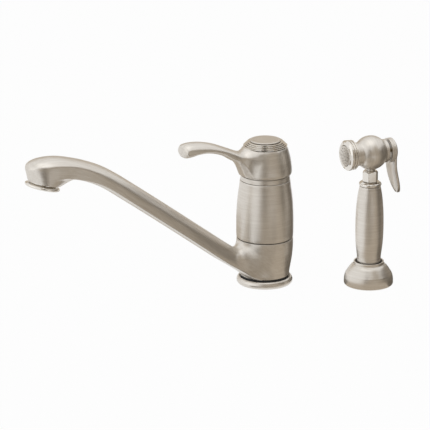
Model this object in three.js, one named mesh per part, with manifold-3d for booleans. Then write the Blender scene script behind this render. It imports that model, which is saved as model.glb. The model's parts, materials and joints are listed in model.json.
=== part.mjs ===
// Single lever kitchen faucet with a side spray.
//
// Units are millimetres and +Z is up. The origin is on the faucet's own axis at deck level, and
// the side spray stands on the +X axis. The rest pose has the spout and the lever on one bearing
// and the side spray standing in its holder. Every sub-part is one closed solid in its own mesh.

import * as THREE from 'three';
import { mergeVertices } from 'three/addons/utils/BufferGeometryUtils.js';
import Module from 'manifold-3d';

const wasm = await Module();
wasm.setup();

// ---------------------------------------------------------------- driving dimensions

// Layout on the deck.
const HOLE_PITCH = 101.6;
const SPOUT_BEARING = 213.2;
const LEVER_BEARING = 213.2;
const SPRAY_BEARING = 207.5;

// Clearances and facets.
const SEAT_GAP = 0.3;
const BOW_GAP = 0.5;
const OUTER_SIDES = 28;
const INNER_SIDES = 20;
const SMALL_SIDES = 12;
const BORE_SIDES = 8;
const ARM_STEPS = 14;

// Heights of the joints between the stacked pieces of the faucet, each from the one below.
const INLET_TOP = 15;
const BASE_RING_TOP = 7.1;
const SWIVEL_GAP = 0.8;
const COLLAR_HEIGHT = 38.2;
const SHELL_GAP = 0.7;
const SHELL_HEIGHT = 57.7;
const BAND_HEIGHT = 6.1;
const BAND_RADIUS = 24.3;
const COLLAR_BOTTOM = BASE_RING_TOP + SWIVEL_GAP;
const COLLAR_TOP = COLLAR_BOTTOM + COLLAR_HEIGHT;
const SHELL_BOTTOM = COLLAR_TOP + SHELL_GAP;
const SHELL_TOP = SHELL_BOTTOM + SHELL_HEIGHT;
const BAND_TOP = SHELL_TOP + BAND_HEIGHT;

// Valve body and cartridge. The hub ends under the band, and the cartridge stands in it.
const HUB_RADIUS = 20;
const HUB_DROP = 2.5;
const BASE_RING_WIDTH = 7.1;
const CHAMBER_DEPTH = 36;
const HUB_TOP = SHELL_TOP - HUB_DROP;
const CHAMBER_FLOOR = HUB_TOP - CHAMBER_DEPTH;
const CARTRIDGE_RADIUS = 17.5;
const HOUSING_HEIGHT = 29.1;
const HOUSING_WALL = 2.7;
const HOUSING_FLANGE = 2;
const CARTRIDGE_SEAL = 2;
const DISC_THICKNESS = 4;
const MOVING_DISC_RADIUS = 8.5;
const DISC_CARRIER_HEIGHT = 6.7;
const CARRIER_NECK_RADIUS = 12.3;
const NUT_HEIGHT = 3.6;
const STEM_WIDTH = 8;
const STEM_PIN_RADIUS = 1.5;
const STEM_TIP_RADIUS = 2.2;
const STEM_TIP_DEPTH = 10.5;
const STEM_RISE = 33;
const PIVOT_DROP = 16.6;
const PIVOT_HEIGHT = BAND_TOP - PIVOT_DROP;
const STEM_TOP = PIVOT_HEIGHT + STEM_RISE;
const DOME_RADIUS = 29.3;
const DOME_WALL = 2.5;
const DOME_OPENING = 21;

// Water ways.
const PORT_RADIUS = 4.5;
const PORT_DEPTH = 12;
const PORT_CIRCLE = 11.5;
const STUD_RADIUS = 3.5;
const PASSAGE_RADIUS = 2.4;
const CENTRE_BORE_RADIUS = 5.5;
const CENTRE_BORE_FLOOR = 24;
const OUTLET_HEIGHT = 29.5;
const SPRAY_LINK_HEIGHT = 40;
const SLEEVE_LENGTH = 18;
const SLEEVE_WALL = 1.8;
const PISTON_LENGTH = 14;
const SPOUT_BORE_RADIUS = 5;

// O-rings of the swivel.
const CORD_RADIUS = 1.05;
const CORD_SQUEEZE = 0.2;
const GROOVE_SLACK = 0.35;
const LOWER_ORING_HEIGHT = 19.4;
const UPPER_ORING_HEIGHT = 41.2;
const GLIDE_THICKNESS = 1.5;

// Spout arm and outlet.
const ARM_HEIGHT = 17.9;
const ARM_ARCH = 6.8;
const ARM_BEVEL = 3;
const OUTLET_REACH = 239;
const OUTLET_MOUTH = 136.8;
const OUTLET_TILT = 15;
const HEAD_RADIUS = 16.5;
const HEAD_HEIGHT = 25;
const MOUTH_RADIUS = 12.8;
const MOUTH_DEPTH = 10;
const AERATOR_RIM = 3.5;
const AERATOR_RADIUS = 16.8;
const AERATOR_LIP = 2;
const AERATOR_FLOOR = 1.4;
const SCREEN_THICKNESS = 1.2;
const FLOW_HOLES = 8;
const FLOW_HOLE_RADIUS = 1.3;

// Handle.
const CAP_RADIUS = 25.9;
const CAP_HEIGHT = 26.7;
const CAP_TOP_RADIUS = 21.4;
const BOSS_RADIUS = 8.5;
const SCREW_HEAD_RADIUS = 4.2;
const SCREW_RADIUS = 2;
const RIDGE_COUNT = 4;
const RIDGE_STACK = 5.4;
const RIDGE_TOP_RADIUS = 16.2;
const BUTTON_RADIUS = 15;
const BUTTON_RISE = 1.6;
const LEVER_TIP = 96.3;
const CAP_BOTTOM = BAND_TOP + SEAT_GAP;
const CAP_TOP = CAP_BOTTOM + CAP_HEIGHT;
const RIDGE_TOP = CAP_TOP + RIDGE_STACK;
const BUTTON_TOP = RIDGE_TOP + BUTTON_RISE;

// Side spray holder and handset.
const HOLDER_RADIUS = 24;
const HOLDER_SHOULDER = 20.4;
const HOLDER_RIM = 23.3;
const HOLDER_RIM_RADIUS = 14.8;
const HOLDER_BORE = 13.4;
const LINER_WALL = 1;
const GASKET_THICKNESS = 1.2;
const GRIP_BOTTOM = 8;
const GRIP_TAIL_RADIUS = 11.6;
const GRIP_MIDDLE_RADIUS = 13.7;
const GRIP_TOP = 99.6;
const GRIP_TOP_RADIUS = 10.2;
const GRIP_BORE = 6;
const BEAD_RADIUS = 11;
const BEAD_HEIGHT = 4.3;
const NUT_CORNER_RADIUS = 7.8;
const NECK_NUT_HEIGHT = 10.7;
const STUB_RADIUS = 4.3;
const BALL_RADIUS = 16.6;
const BALL_GAP = 1.1;
const BALL_HEIGHT = GRIP_TOP + BEAD_HEIGHT + NECK_NUT_HEIGHT + 2 * SEAT_GAP + BALL_GAP
  + BALL_RADIUS;
const FRONT_NECK_RADIUS = 11.4;
const FRONT_NECK_END = 26;
const BACK_NECK_RADIUS = 11.4;
const BACK_NECK_END = 15.6;
const FACE_RING_RADIUS = 14.8;
const FACE_RING_BACK = 19;
const FACE_PLATE_RADIUS = 9.8;
const FACE_PLATE_FRONT = 28.9;
const VALVE_BORE = 8.7;
const VALVE_SEAT_BACK = 5;
const SEAT_THICKNESS = 3;
const PLUNGER_RADIUS = 2;
const POPPET_RADIUS = 5;
const POPPET_HEIGHT = 2.5;
const SPRING_GUIDE_RADIUS = 2.6;
const SPRING_GUIDE_LENGTH = 4;
const SPRING_RADIUS = 4;
const SPRING_WIRE = 0.45;
const SPRING_TURNS = 5;
const RETAINER_BACK = 20.3;
const RETAINER_THICKNESS = 2;
const PLATE_SEAL_THICKNESS = 1.4;
const PLATE_SEAL_WIDTH = 1.2;
const JET_RADIUS = 0.7;
const JET_CIRCLES = [[9, 6.3], [4, 3.1]];
const WINDOW_RADIUS = 1.3;
const WINDOW_CIRCLE = 6.2;
const RISER_BORE = 2.8;
const STUB_DEPTH = 14;
const NIPPLE_WASHER = 1.8;
const NIPPLE_WASHER_BORE = 4.4;
const CLIP_THICKNESS = 1.4;
const CLIP_INNER = 6.4;
const HEX_TURN = 12;
const HEX_CHAMFER = 1.8;

// Trigger.
const TRIGGER_GAP = 2.5;
const TRIGGER_RADIUS = 12;
const TRIGGER_LIP = 3.3;
const TRIGGER_PLATE = 2.6;
const TRIGGER_PIN_RISE = 8;
const TRIGGER_PIN_RADIUS = 1.2;
const TRIGGER_PIN_LENGTH = 15;
const TRIGGER_WIDTH = 20;
const TRIGGER_DROP = 40;
const TRIGGER_FLARE = 6;

// ---------------------------------------------------------------- geometry helpers

const radians = THREE.MathUtils.degToRad;

// Revolves an outline of [radius, height] points about +Z. An outline that starts off the axis
// closes on itself as a ring.
function revolve(outline, sides = OUTER_SIDES) {
  const points = outline.map(([radius, height]) => new THREE.Vector2(radius, height));
  if (outline[0][0] > 0) points.push(points[0].clone());
  return new THREE.LatheGeometry(points, sides).rotateX(Math.PI / 2);
}

function rod(radius, bottom, top, sides = SMALL_SIDES) {
  const cylinder = new THREE.CylinderGeometry(radius, radius, top - bottom, sides);
  return cylinder.rotateX(Math.PI / 2).translate(0, 0, (bottom + top) / 2);
}

function ring(inner, outer, bottom, top, sides = INNER_SIDES) {
  return revolve([[inner, bottom], [outer, bottom], [outer, top], [inner, top]], sides);
}

function block(x0, x1, y0, y1, z0, z1) {
  const box = new THREE.BoxGeometry(x1 - x0, y1 - y0, z1 - z0);
  return box.translate((x0 + x1) / 2, (y0 + y1) / 2, (z0 + z1) / 2);
}

function cordRing(radius, height, cord = CORD_RADIUS, sides = INNER_SIDES) {
  return new THREE.TorusGeometry(radius, cord, 6, sides).translate(0, 0, height);
}

function circleOutline(radius, sides) {
  const corners = [];
  for (let i = 0; i < sides; i += 1) {
    const angle = (2 * Math.PI * i) / sides;
    corners.push(new THREE.Vector2(radius * Math.cos(angle), radius * Math.sin(angle)));
  }
  return new THREE.Shape(corners);
}

function tube(path, radius, sides, steps) {
  const settings = { steps, bevelEnabled: false, extrudePath: path };
  return new THREE.ExtrudeGeometry(circleOutline(radius, sides), settings);
}

// Joins equal rings of points into one closed skin, with a flat fan over each end.
function loft(rings) {
  const count = rings[0].length;
  const vertices = rings.flat();
  const middle = (loop) => loop.reduce((sum, p) => sum.add(p), new THREE.Vector3())
    .divideScalar(loop.length);
  const first = vertices.push(middle(rings[0])) - 1;
  const last = vertices.push(middle(rings[rings.length - 1])) - 1;
  const index = [];
  for (let i = 0; i < count; i += 1) {
    const next = (i + 1) % count;
    for (let k = 0; k + 1 < rings.length; k += 1) {
      const a = k * count;
      const b = a + count;
      index.push(a + i, a + next, b + next, a + i, b + next, b + i);
    }
    const end = (rings.length - 1) * count;
    index.push(first, next, i, last, end + i, end + next);
  }
  const geometry = new THREE.BufferGeometry().setFromPoints(vertices);
  geometry.setIndex(index);
  return geometry;
}

function signedVolume(vertices, triangles) {
  const corner = (i) => new THREE.Vector3().fromArray(vertices, 3 * i);
  let sum = 0;
  for (let t = 0; t < triangles.length; t += 3) {
    const [a, b, c] = [0, 1, 2].map((k) => corner(triangles[t + k]));
    sum += a.dot(b.cross(c)) / 6;
  }
  return sum;
}

// Turns a closed geometry into a solid that can be cut and joined, with its faces pointing out.
function solid(geometry) {
  const bare = geometry.clone();
  bare.deleteAttribute('normal');
  bare.deleteAttribute('uv');
  const merged = mergeVertices(bare, 1e-4);
  const vertProperties = new Float32Array(merged.attributes.position.array);
  const corners = merged.index.array;
  let triangles = [];
  for (let t = 0; t < corners.length; t += 3) {
    const [a, b, c] = [corners[t], corners[t + 1], corners[t + 2]];
    if (a !== b && b !== c && c !== a) triangles.push(a, b, c);
  }
  if (signedVolume(vertProperties, triangles) < 0) triangles = triangles.reverse();
  const triVerts = new Uint32Array(triangles);
  return new wasm.Manifold(new wasm.Mesh({ numProp: 3, vertProperties, triVerts }));
}

function geometryOf(body) {
  const mesh = body.getMesh();
  const geometry = new THREE.BufferGeometry();
  const positions = new Float32Array(mesh.vertProperties);
  geometry.setAttribute('position', new THREE.BufferAttribute(positions, 3));
  geometry.setIndex(Array.from(mesh.triVerts));
  return geometry;
}

function joined(first, ...others) {
  return geometryOf(others.reduce((sum, other) => sum.add(solid(other)), solid(first)));
}

function cut(first, ...tools) {
  return geometryOf(tools.reduce((rest, tool) => rest.subtract(solid(tool)), solid(first)));
}

function material(color, roughness, metalness = 1) {
  return new THREE.MeshStandardMaterial({ color, roughness, metalness });
}

const brushedNickel = material(0xb9aea0, 0.34);
const polishedNickel = material(0xc9c1b6, 0.16);
const brass = material(0xb08d4f, 0.4);
const steel = material(0xb8bcc0, 0.25);
const ceramic = material(0xf1efe8, 0.3, 0);
const rubber = material(0x1c1c1c, 0.8, 0);
const blackPlastic = material(0x202020, 0.55, 0);
const whitePlastic = material(0xdedcd4, 0.5, 0);

function part(group, name, geometry, finish) {
  const shape = geometryOf(solid(geometry)).toNonIndexed();
  shape.computeVertexNormals();
  const mesh = new THREE.Mesh(shape, finish);
  mesh.name = name;
  group.add(mesh);
}

function turnedGroup(parent, bearing, x = 0) {
  const group = new THREE.Group();
  group.position.x = x;
  group.rotation.z = radians(bearing);
  parent.add(group);
  return group;
}

// ---------------------------------------------------------------- the groups

const faucet = new THREE.Group();
const spoutGroup = turnedGroup(faucet, SPOUT_BEARING);
const handleGroup = turnedGroup(faucet, LEVER_BEARING);
const holderGroup = turnedGroup(faucet, 0, HOLE_PITCH);
const sprayGroup = turnedGroup(faucet, SPRAY_BEARING, HOLE_PITCH);

// ---------------------------------------------------------------- base and valve body

const PORT_ANGLES = { hot: 145, cold: 215, spray: 0 };
const STUD_ANGLE = 90;
const COLLAR_BORE = HUB_RADIUS + BOW_GAP;
const CORD_CENTRE = HUB_RADIUS - CORD_RADIUS + CORD_SQUEEZE;
const CORD_GROOVE = CORD_CENTRE - CORD_RADIUS - SEAT_GAP;
const CORD_GROOVE_HALF = CORD_RADIUS + GROOVE_SLACK;
const RECESS_DEPTH = 2.6;
const OUTLET_RECESS = HUB_RADIUS - RECESS_DEPTH;
const OUTLET_RECESS_HALF = 6;
const RING_BORE = HUB_RADIUS + SEAT_GAP;
const BASE_RING_RADIUS = HUB_RADIUS + BASE_RING_WIDTH;
const BASE_SEAL_OFFSET = 2.6;
const BASE_SEAL_WIDTH = 2.1;
const BASE_SEAL_INNER = HUB_RADIUS + BASE_SEAL_OFFSET;
const BASE_SEAL_OUTER = BASE_SEAL_INNER + BASE_SEAL_WIDTH;
const LOWER_GLIDE_OUTER = 23.6;

function atBearing(geometry, radius, bearing) {
  const angle = radians(bearing);
  return geometry.translate(radius * Math.cos(angle), radius * Math.sin(angle), 0);
}

function portBores(bottom, top, radius, bearings) {
  return bearings.map((bearing) => (
    atBearing(rod(radius, bottom, top, BORE_SIDES), PORT_CIRCLE, bearing)));
}

function buildBase(group) {
  const sealTop = GASKET_THICKNESS + SEAT_GAP;
  const glideSeat = BASE_RING_TOP - GLIDE_THICKNESS;
  const sealGroove = ring(BASE_SEAL_INNER - SEAT_GAP, BASE_SEAL_OUTER + SEAT_GAP, -1, sealTop,
    OUTER_SIDES);
  const ringBody = revolve([
    [RING_BORE, 0], [BASE_RING_RADIUS - 1.6, 0], [BASE_RING_RADIUS - 0.3, 1],
    [BASE_RING_RADIUS, 2.8], [BASE_RING_RADIUS - 0.25, 4.8], [BASE_RING_RADIUS - 1.2, 6.4],
    [BASE_RING_RADIUS - 2.7, BASE_RING_TOP], [LOWER_GLIDE_OUTER + SEAT_GAP, BASE_RING_TOP],
    [LOWER_GLIDE_OUTER + SEAT_GAP, glideSeat], [RING_BORE, glideSeat],
  ]);
  part(group, 'base_ring', cut(ringBody, sealGroove), brushedNickel);
  part(group, 'base_seal', ring(BASE_SEAL_INNER, BASE_SEAL_OUTER, 0, GASKET_THICKNESS,
    OUTER_SIDES), rubber);
  part(group, 'lower_glide_ring', ring(HUB_RADIUS + BOW_GAP, LOWER_GLIDE_OUTER,
    glideSeat + SEAT_GAP, COLLAR_BOTTOM - SEAT_GAP, OUTER_SIDES), blackPlastic);

  const ports = portBores(-1, PORT_DEPTH, PORT_RADIUS, Object.values(PORT_ANGLES));
  const passages = portBores(PORT_DEPTH - 1, INLET_TOP + 1, PASSAGE_RADIUS,
    Object.values(PORT_ANGLES));
  const stud = atBearing(rod(STUD_RADIUS, -1, PORT_DEPTH, BORE_SIDES), PORT_CIRCLE, STUD_ANGLE);
  const inlet = cut(rod(HUB_RADIUS, 0, INLET_TOP, INNER_SIDES), ...ports, ...passages, stud);
  part(group, 'inlet_block', inlet, brass);

  const chamber = CARTRIDGE_RADIUS + SEAT_GAP;
  const bottom = INLET_TOP + SEAT_GAP;
  const groove = (height) => [
    [HUB_RADIUS, height - CORD_GROOVE_HALF], [CORD_GROOVE, height - CORD_GROOVE_HALF],
    [CORD_GROOVE, height + CORD_GROOVE_HALF], [HUB_RADIUS, height + CORD_GROOVE_HALF],
  ];
  const hub = revolve([
    [0, bottom], [HUB_RADIUS, bottom], ...groove(LOWER_ORING_HEIGHT),
    [HUB_RADIUS, OUTLET_HEIGHT - OUTLET_RECESS_HALF],
    [OUTLET_RECESS, OUTLET_HEIGHT - OUTLET_RECESS_HALF],
    [OUTLET_RECESS, OUTLET_HEIGHT + OUTLET_RECESS_HALF],
    [HUB_RADIUS, OUTLET_HEIGHT + OUTLET_RECESS_HALF],
    ...groove(UPPER_ORING_HEIGHT), [HUB_RADIUS, HUB_TOP], [chamber, HUB_TOP],
    [chamber, CHAMBER_FLOOR], [0, CHAMBER_FLOOR],
  ], INNER_SIDES);
  const supply = portBores(bottom - 1, CHAMBER_FLOOR + 1, PASSAGE_RADIUS,
    [PORT_ANGLES.hot, PORT_ANGLES.cold]);
  const sprayRise = portBores(bottom - 1, SPRAY_LINK_HEIGHT, PASSAGE_RADIUS,
    [PORT_ANGLES.spray])[0];
  const sprayLink = rod(PASSAGE_RADIUS, 0, PORT_CIRCLE + PASSAGE_RADIUS, BORE_SIDES)
    .rotateY(Math.PI / 2).translate(0, 0, SPRAY_LINK_HEIGHT);
  const centre = rod(CENTRE_BORE_RADIUS, CENTRE_BORE_FLOOR, CHAMBER_FLOOR + 1);
  const outlet = rod(PASSAGE_RADIUS + 1, -HUB_RADIUS, HUB_RADIUS, BORE_SIDES)
    .rotateX(Math.PI / 2).translate(0, 0, OUTLET_HEIGHT);
  part(group, 'valve_body', cut(hub, ...supply, sprayRise, sprayLink, centre, outlet), brass);

  part(group, 'lower_spout_oring', cordRing(CORD_CENTRE, LOWER_ORING_HEIGHT), rubber);
  part(group, 'upper_spout_oring', cordRing(CORD_CENTRE, UPPER_ORING_HEIGHT), rubber);

  const sleeveOuter = CENTRE_BORE_RADIUS - SEAT_GAP;
  const sleeveInner = sleeveOuter - SLEEVE_WALL;
  const sleeveTop = CHAMBER_FLOOR - 1;
  part(group, 'diverter_sleeve', ring(sleeveInner, sleeveOuter, sleeveTop - SLEEVE_LENGTH,
    sleeveTop, SMALL_SIDES), whitePlastic);
  const pistonBottom = sleeveTop - SLEEVE_LENGTH - 1;
  part(group, 'diverter_piston', rod(sleeveInner - SEAT_GAP, pistonBottom,
    pistonBottom + PISTON_LENGTH), brass);
}

// ---------------------------------------------------------------- shell and bonnet

const SHELL_WALL = 2.2;
const UPPER_GLIDE_OUTER = 25.2;
const BONNET_SKIRT = 1.5;
const BONNET_DEPTH = 14;

// Outer radius of the body shell at a few heights above its bottom edge.
const SHELL_OUTLINE = [
  [27.5, 0], [27.85, 0.6], [27.85, 8], [27.8, 17], [27.55, 26.5], [27.0, 36.5], [25.8, 46.6],
  [25.0, 51.8], [24.35, 57.7],
];

function domePoints(radius, fromRadius, toRadius, count) {
  const start = Math.asin(fromRadius / radius);
  const end = Math.asin(toRadius / radius);
  const points = [];
  for (let i = 0; i <= count; i += 1) {
    const angle = start + ((end - start) * i) / count;
    points.push([radius * Math.sin(angle), PIVOT_HEIGHT + radius * Math.cos(angle)]);
  }
  return points;
}

function buildShell(group) {
  const scale = (SHELL_TOP - SHELL_BOTTOM) / SHELL_OUTLINE[SHELL_OUTLINE.length - 1][1];
  const outer = SHELL_OUTLINE.map(([radius, rise]) => [radius, SHELL_BOTTOM + rise * scale]);
  const inner = outer.slice(3).map(([radius, height]) => [radius - SHELL_WALL, height]);
  const land = SHELL_BOTTOM + 4;
  const shell = revolve([
    [HUB_RADIUS + SEAT_GAP, SHELL_BOTTOM], ...outer, ...inner.reverse(),
    [27.85 - SHELL_WALL, land], [HUB_RADIUS + SEAT_GAP, land],
  ]);
  part(group, 'body_shell', shell, brushedNickel);

  const glideBottom = COLLAR_TOP - GLIDE_THICKNESS + SEAT_GAP;
  part(group, 'upper_glide_ring', ring(HUB_RADIUS + BOW_GAP, UPPER_GLIDE_OUTER, glideBottom,
    SHELL_BOTTOM - SEAT_GAP, OUTER_SIDES), blackPlastic);

  const skirtInner = HUB_RADIUS + SEAT_GAP;
  const skirtOuter = skirtInner + BONNET_SKIRT;
  const bandBottom = SHELL_TOP + SEAT_GAP;
  const dome = domePoints(DOME_RADIUS, BAND_RADIUS - 0.4, DOME_OPENING, 3);
  const under = domePoints(DOME_RADIUS - DOME_WALL, DOME_OPENING - 0.8, skirtInner - 0.2, 1);
  const bonnet = revolve([
    [skirtInner, bandBottom - BONNET_DEPTH], [skirtOuter, bandBottom - BONNET_DEPTH],
    [skirtOuter, bandBottom], [BAND_RADIUS, bandBottom], [BAND_RADIUS - 0.2, BAND_TOP], ...dome,
    under[0],
    [skirtInner, under[1][1]],
  ]);
  part(group, 'bonnet_ring', bonnet, brushedNickel);
}

// ---------------------------------------------------------------- cartridge

function buildCartridge(fixed, turning) {
  const sealBottom = CHAMBER_FLOOR + SEAT_GAP;
  const housingBottom = sealBottom + CARTRIDGE_SEAL + SEAT_GAP;
  const housingTop = housingBottom + HOUSING_HEIGHT;
  const housingInner = CARTRIDGE_RADIUS - HOUSING_WALL;
  const discBottom = housingBottom + HOUSING_FLANGE + SEAT_GAP;
  const discTop = discBottom + DISC_THICKNESS;
  const supply = () => portBores(sealBottom - 1, discTop + 1, PASSAGE_RADIUS,
    [PORT_ANGLES.hot, PORT_ANGLES.cold]);
  const centre = () => rod(CENTRE_BORE_RADIUS, sealBottom - 1, discTop + 1);

  part(fixed, 'cartridge_gasket', cut(rod(CARTRIDGE_RADIUS, sealBottom,
    sealBottom + CARTRIDGE_SEAL, INNER_SIDES), ...supply(), centre()), rubber);
  const flange = HOUSING_FLANGE;
  const housing = revolve([
    [0, housingBottom], [CARTRIDGE_RADIUS, housingBottom], [CARTRIDGE_RADIUS, housingTop],
    [CARRIER_NECK_RADIUS + SEAT_GAP, housingTop],
    [CARRIER_NECK_RADIUS + SEAT_GAP, housingTop - flange], [housingInner, housingTop - flange],
    [housingInner, housingBottom + flange], [0, housingBottom + flange],
  ], INNER_SIDES);
  part(fixed, 'cartridge_housing', cut(housing, ...supply(), centre()), whitePlastic);
  part(fixed, 'fixed_ceramic_disc', cut(rod(housingInner - SEAT_GAP, discBottom, discTop,
    INNER_SIDES), ...supply(), centre()), ceramic);
  const nutBottom = housingTop + SEAT_GAP;
  part(fixed, 'cartridge_nut', ring(CARRIER_NECK_RADIUS + SEAT_GAP + 0.4, CARTRIDGE_RADIUS,
    nutBottom, nutBottom + NUT_HEIGHT), brass);

  const movingBottom = discTop + SEAT_GAP;
  const movingTop = movingBottom + DISC_THICKNESS;
  part(turning, 'moving_ceramic_disc', rod(MOVING_DISC_RADIUS, movingBottom, movingTop,
    INNER_SIDES), ceramic);
  const shoeBottom = movingTop + SEAT_GAP;
  const shoeTop = shoeBottom + DISC_CARRIER_HEIGHT;
  const pocket = rod(STEM_TIP_RADIUS + 1.2, PIVOT_HEIGHT - STEM_TIP_DEPTH - 1.5, shoeTop + 1);
  part(turning, 'disc_carrier', cut(rod(MOVING_DISC_RADIUS, shoeBottom, shoeTop, INNER_SIDES),
    pocket), whitePlastic);

  const carrierRadius = housingInner - SEAT_GAP - 0.1;
  const carrierTop = nutBottom + NUT_HEIGHT;
  const carrier = revolve([
    [0, shoeTop + SEAT_GAP], [carrierRadius, shoeTop + SEAT_GAP],
    [carrierRadius, housingTop - flange - SEAT_GAP],
    [CARRIER_NECK_RADIUS, housingTop - flange - SEAT_GAP], [CARRIER_NECK_RADIUS, carrierTop],
    [0, carrierTop],
  ], INNER_SIDES);
  const slotHalf = STEM_WIDTH / 2 + SEAT_GAP;
  const slotReach = STEM_WIDTH / 2 + 4.8;
  const slot = block(-slotReach, slotReach, -slotHalf, slotHalf, shoeTop, carrierTop + 1);
  const pinLength = 2 * CARRIER_NECK_RADIUS - 3;
  const acrossPivot = (radius, length) => rod(radius, -length / 2, length / 2, BORE_SIDES)
    .rotateX(Math.PI / 2).translate(0, 0, PIVOT_HEIGHT);
  const pinBore = acrossPivot(STEM_PIN_RADIUS + SEAT_GAP, pinLength + 2 * SEAT_GAP);
  part(turning, 'stem_carrier', cut(carrier, slot, pinBore), whitePlastic);
  part(turning, 'stem_pin', acrossPivot(STEM_PIN_RADIUS, pinLength), steel);

  const half = STEM_WIDTH / 2;
  const bar = block(-half, half, -half, half, PIVOT_HEIGHT - 5, STEM_TOP);
  const tip = rod(STEM_TIP_RADIUS, PIVOT_HEIGHT - STEM_TIP_DEPTH, PIVOT_HEIGHT - 4);
  const thread = rod(SCREW_RADIUS + SEAT_GAP, STEM_TOP - 12, STEM_TOP + 1, BORE_SIDES);
  const stem = cut(joined(bar, tip), acrossPivot(STEM_PIN_RADIUS + SEAT_GAP, 4 * half), thread);
  part(turning, 'cartridge_stem', stem, steel);
}

// ---------------------------------------------------------------- handle

const CAVITY_RADIUS = DOME_RADIUS + BOW_GAP;

// Sections of the lever at shares of its reach, with heights above the cap's bottom edge: [share,
// crest height, upper edge half width and height, lower edge half width and height, height of
// the underside].
const LEVER_SECTIONS = [
  [0.0623, 22.1, 10, 17.1, 12, 3.1, 0.3],
  [0.2077, 23.1, 10.8, 18.4, 14, 0.8, 0.2],
  [0.2492, 24.1, 10.6, 19.2, 12.9, 4.3, 0.3],
  [0.2804, 24.9, 10.4, 20.1, 12, 10.9, 1.0],
  [0.3115, 25.9, 10.1, 21.4, 11.4, 15.1, 6.1],
  [0.3531, 27.3, 9.9, 23.3, 10.8, 18.1, 14.1],
  [0.4154, 29.9, 9.7, 26.3, 10.3, 22.1, 19.1],
  [0.4984, 33.4, 9.6, 29.9, 9.9, 26.9, 23.6],
  [0.6023, 37.5, 9.7, 32.9, 9.9, 30.3, 27.1],
  [0.7061, 40.4, 9.9, 34.7, 10.1, 32.4, 28.9],
  [0.7996, 41.8, 10.1, 35.9, 10.3, 32.5, 29.1],
  [0.8827, 42.0, 10.2, 36.6, 10.3, 31.7, 27.7],
  [0.9450, 40.9, 9, 36.4, 9, 31.7, 28.5],
  [0.9813, 39.1, 6.5, 36.1, 6.5, 32.6, 30.1],
  [1.0000, 36.9, 2.5, 35.7, 2.5, 33.9, 33.1],
];

// One half section runs down from the crest as an elliptical arch to the upper edge, then over
// the side band to the lower edge and under it.
function leverSection([share, crest, upper, upperZ, lower, lowerZ, bottom]) {
  const half = [];
  for (const angle of [30, 60, 90]) {
    const rise = (crest - upperZ) * Math.cos(radians(angle));
    half.push([upper * Math.sin(radians(angle)), upperZ + rise]);
  }
  half.push([lower, lowerZ], [0.55 * lower, bottom]);
  const place = (side) => ([y, z]) => new THREE.Vector3(share * LEVER_TIP, side * y,
    CAP_BOTTOM + z);
  return [place(0)([0, crest]), ...half.map(place(1)), ...half.map(place(-1)).reverse()];
}

function buildHandle(group) {
  const cap = revolve([
    [0, CAP_BOTTOM], [CAP_RADIUS - 0.6, CAP_BOTTOM], [CAP_RADIUS, CAP_BOTTOM + 2.7],
    [CAP_RADIUS - 0.3, CAP_BOTTOM + 7.8], [CAP_RADIUS - 1.0, CAP_BOTTOM + 12.8],
    [CAP_RADIUS - 2.0, CAP_BOTTOM + 17.8], [CAP_RADIUS - 3.4, CAP_BOTTOM + 22.9],
    [CAP_TOP_RADIUS, CAP_TOP - 0.6], [CAP_TOP_RADIUS - 0.5, CAP_TOP], [0, CAP_TOP],
  ]);
  const cavity = new THREE.SphereGeometry(CAVITY_RADIUS, OUTER_SIDES, OUTER_SIDES / 2)
    .rotateX(Math.PI / 2).translate(0, 0, PIVOT_HEIGHT);
  const boss = rod(BOSS_RADIUS, PIVOT_HEIGHT + 20, STEM_TOP, INNER_SIDES);
  const socketHalf = STEM_WIDTH / 2 + SEAT_GAP;
  const socket = block(-socketHalf, socketHalf, -socketHalf, socketHalf, PIVOT_HEIGHT,
    STEM_TOP + SEAT_GAP);
  const headSeat = STEM_TOP + 2.4;
  const counterbore = rod(SCREW_HEAD_RADIUS + SEAT_GAP, headSeat, CAP_TOP + 1);
  const clearance = rod(SCREW_RADIUS + SEAT_GAP, STEM_TOP - 1, headSeat + 1, BORE_SIDES);
  const hollow = cut(joined(cap, loft(LEVER_SECTIONS.map(leverSection))), cavity);
  part(group, 'handle_lever', cut(joined(hollow, boss), socket, counterbore, clearance),
    brushedNickel);

  const screwHead = rod(SCREW_HEAD_RADIUS, headSeat + SEAT_GAP, headSeat + 3);
  const shank = rod(SCREW_RADIUS, STEM_TOP - 10, headSeat + 1, BORE_SIDES);
  const hexKey = rod(2, headSeat + 1.5, headSeat + 4, 6);
  part(group, 'handle_screw', cut(joined(screwHead, shank), hexKey), steel);

  const bottom = CAP_TOP + SEAT_GAP;
  const pitch = (RIDGE_TOP - bottom) / RIDGE_COUNT;
  const inset = (CAP_TOP_RADIUS - RIDGE_TOP_RADIUS) / RIDGE_COUNT;
  const bore = RIDGE_TOP_RADIUS - 4.2;
  const ridges = [[bore, bottom]];
  for (let i = 0; i < RIDGE_COUNT; i += 1) {
    const radius = CAP_TOP_RADIUS - i * inset;
    const height = bottom + i * pitch;
    ridges.push([radius - 0.5, height], [radius - 0.2, height + 0.75 * pitch]);
    ridges.push([radius - 1.5 * inset, height + 0.8 * pitch]);
  }
  ridges.push([RIDGE_TOP_RADIUS - 1.6, RIDGE_TOP], [bore, RIDGE_TOP]);
  part(group, 'ridged_trim_ring', revolve(ridges), polishedNickel);

  const seat = RIDGE_TOP + SEAT_GAP;
  part(group, 'index_button', revolve([
    [0, bottom + 2], [bore - SEAT_GAP, bottom + 2], [bore - SEAT_GAP, seat],
    [BUTTON_RADIUS - 0.3, seat], [BUTTON_RADIUS, seat + 0.4], [BUTTON_RADIUS - 0.5, BUTTON_TOP - 0.1],
    [0, BUTTON_TOP],
  ]), brushedNickel);
}

// ---------------------------------------------------------------- spout

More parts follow.
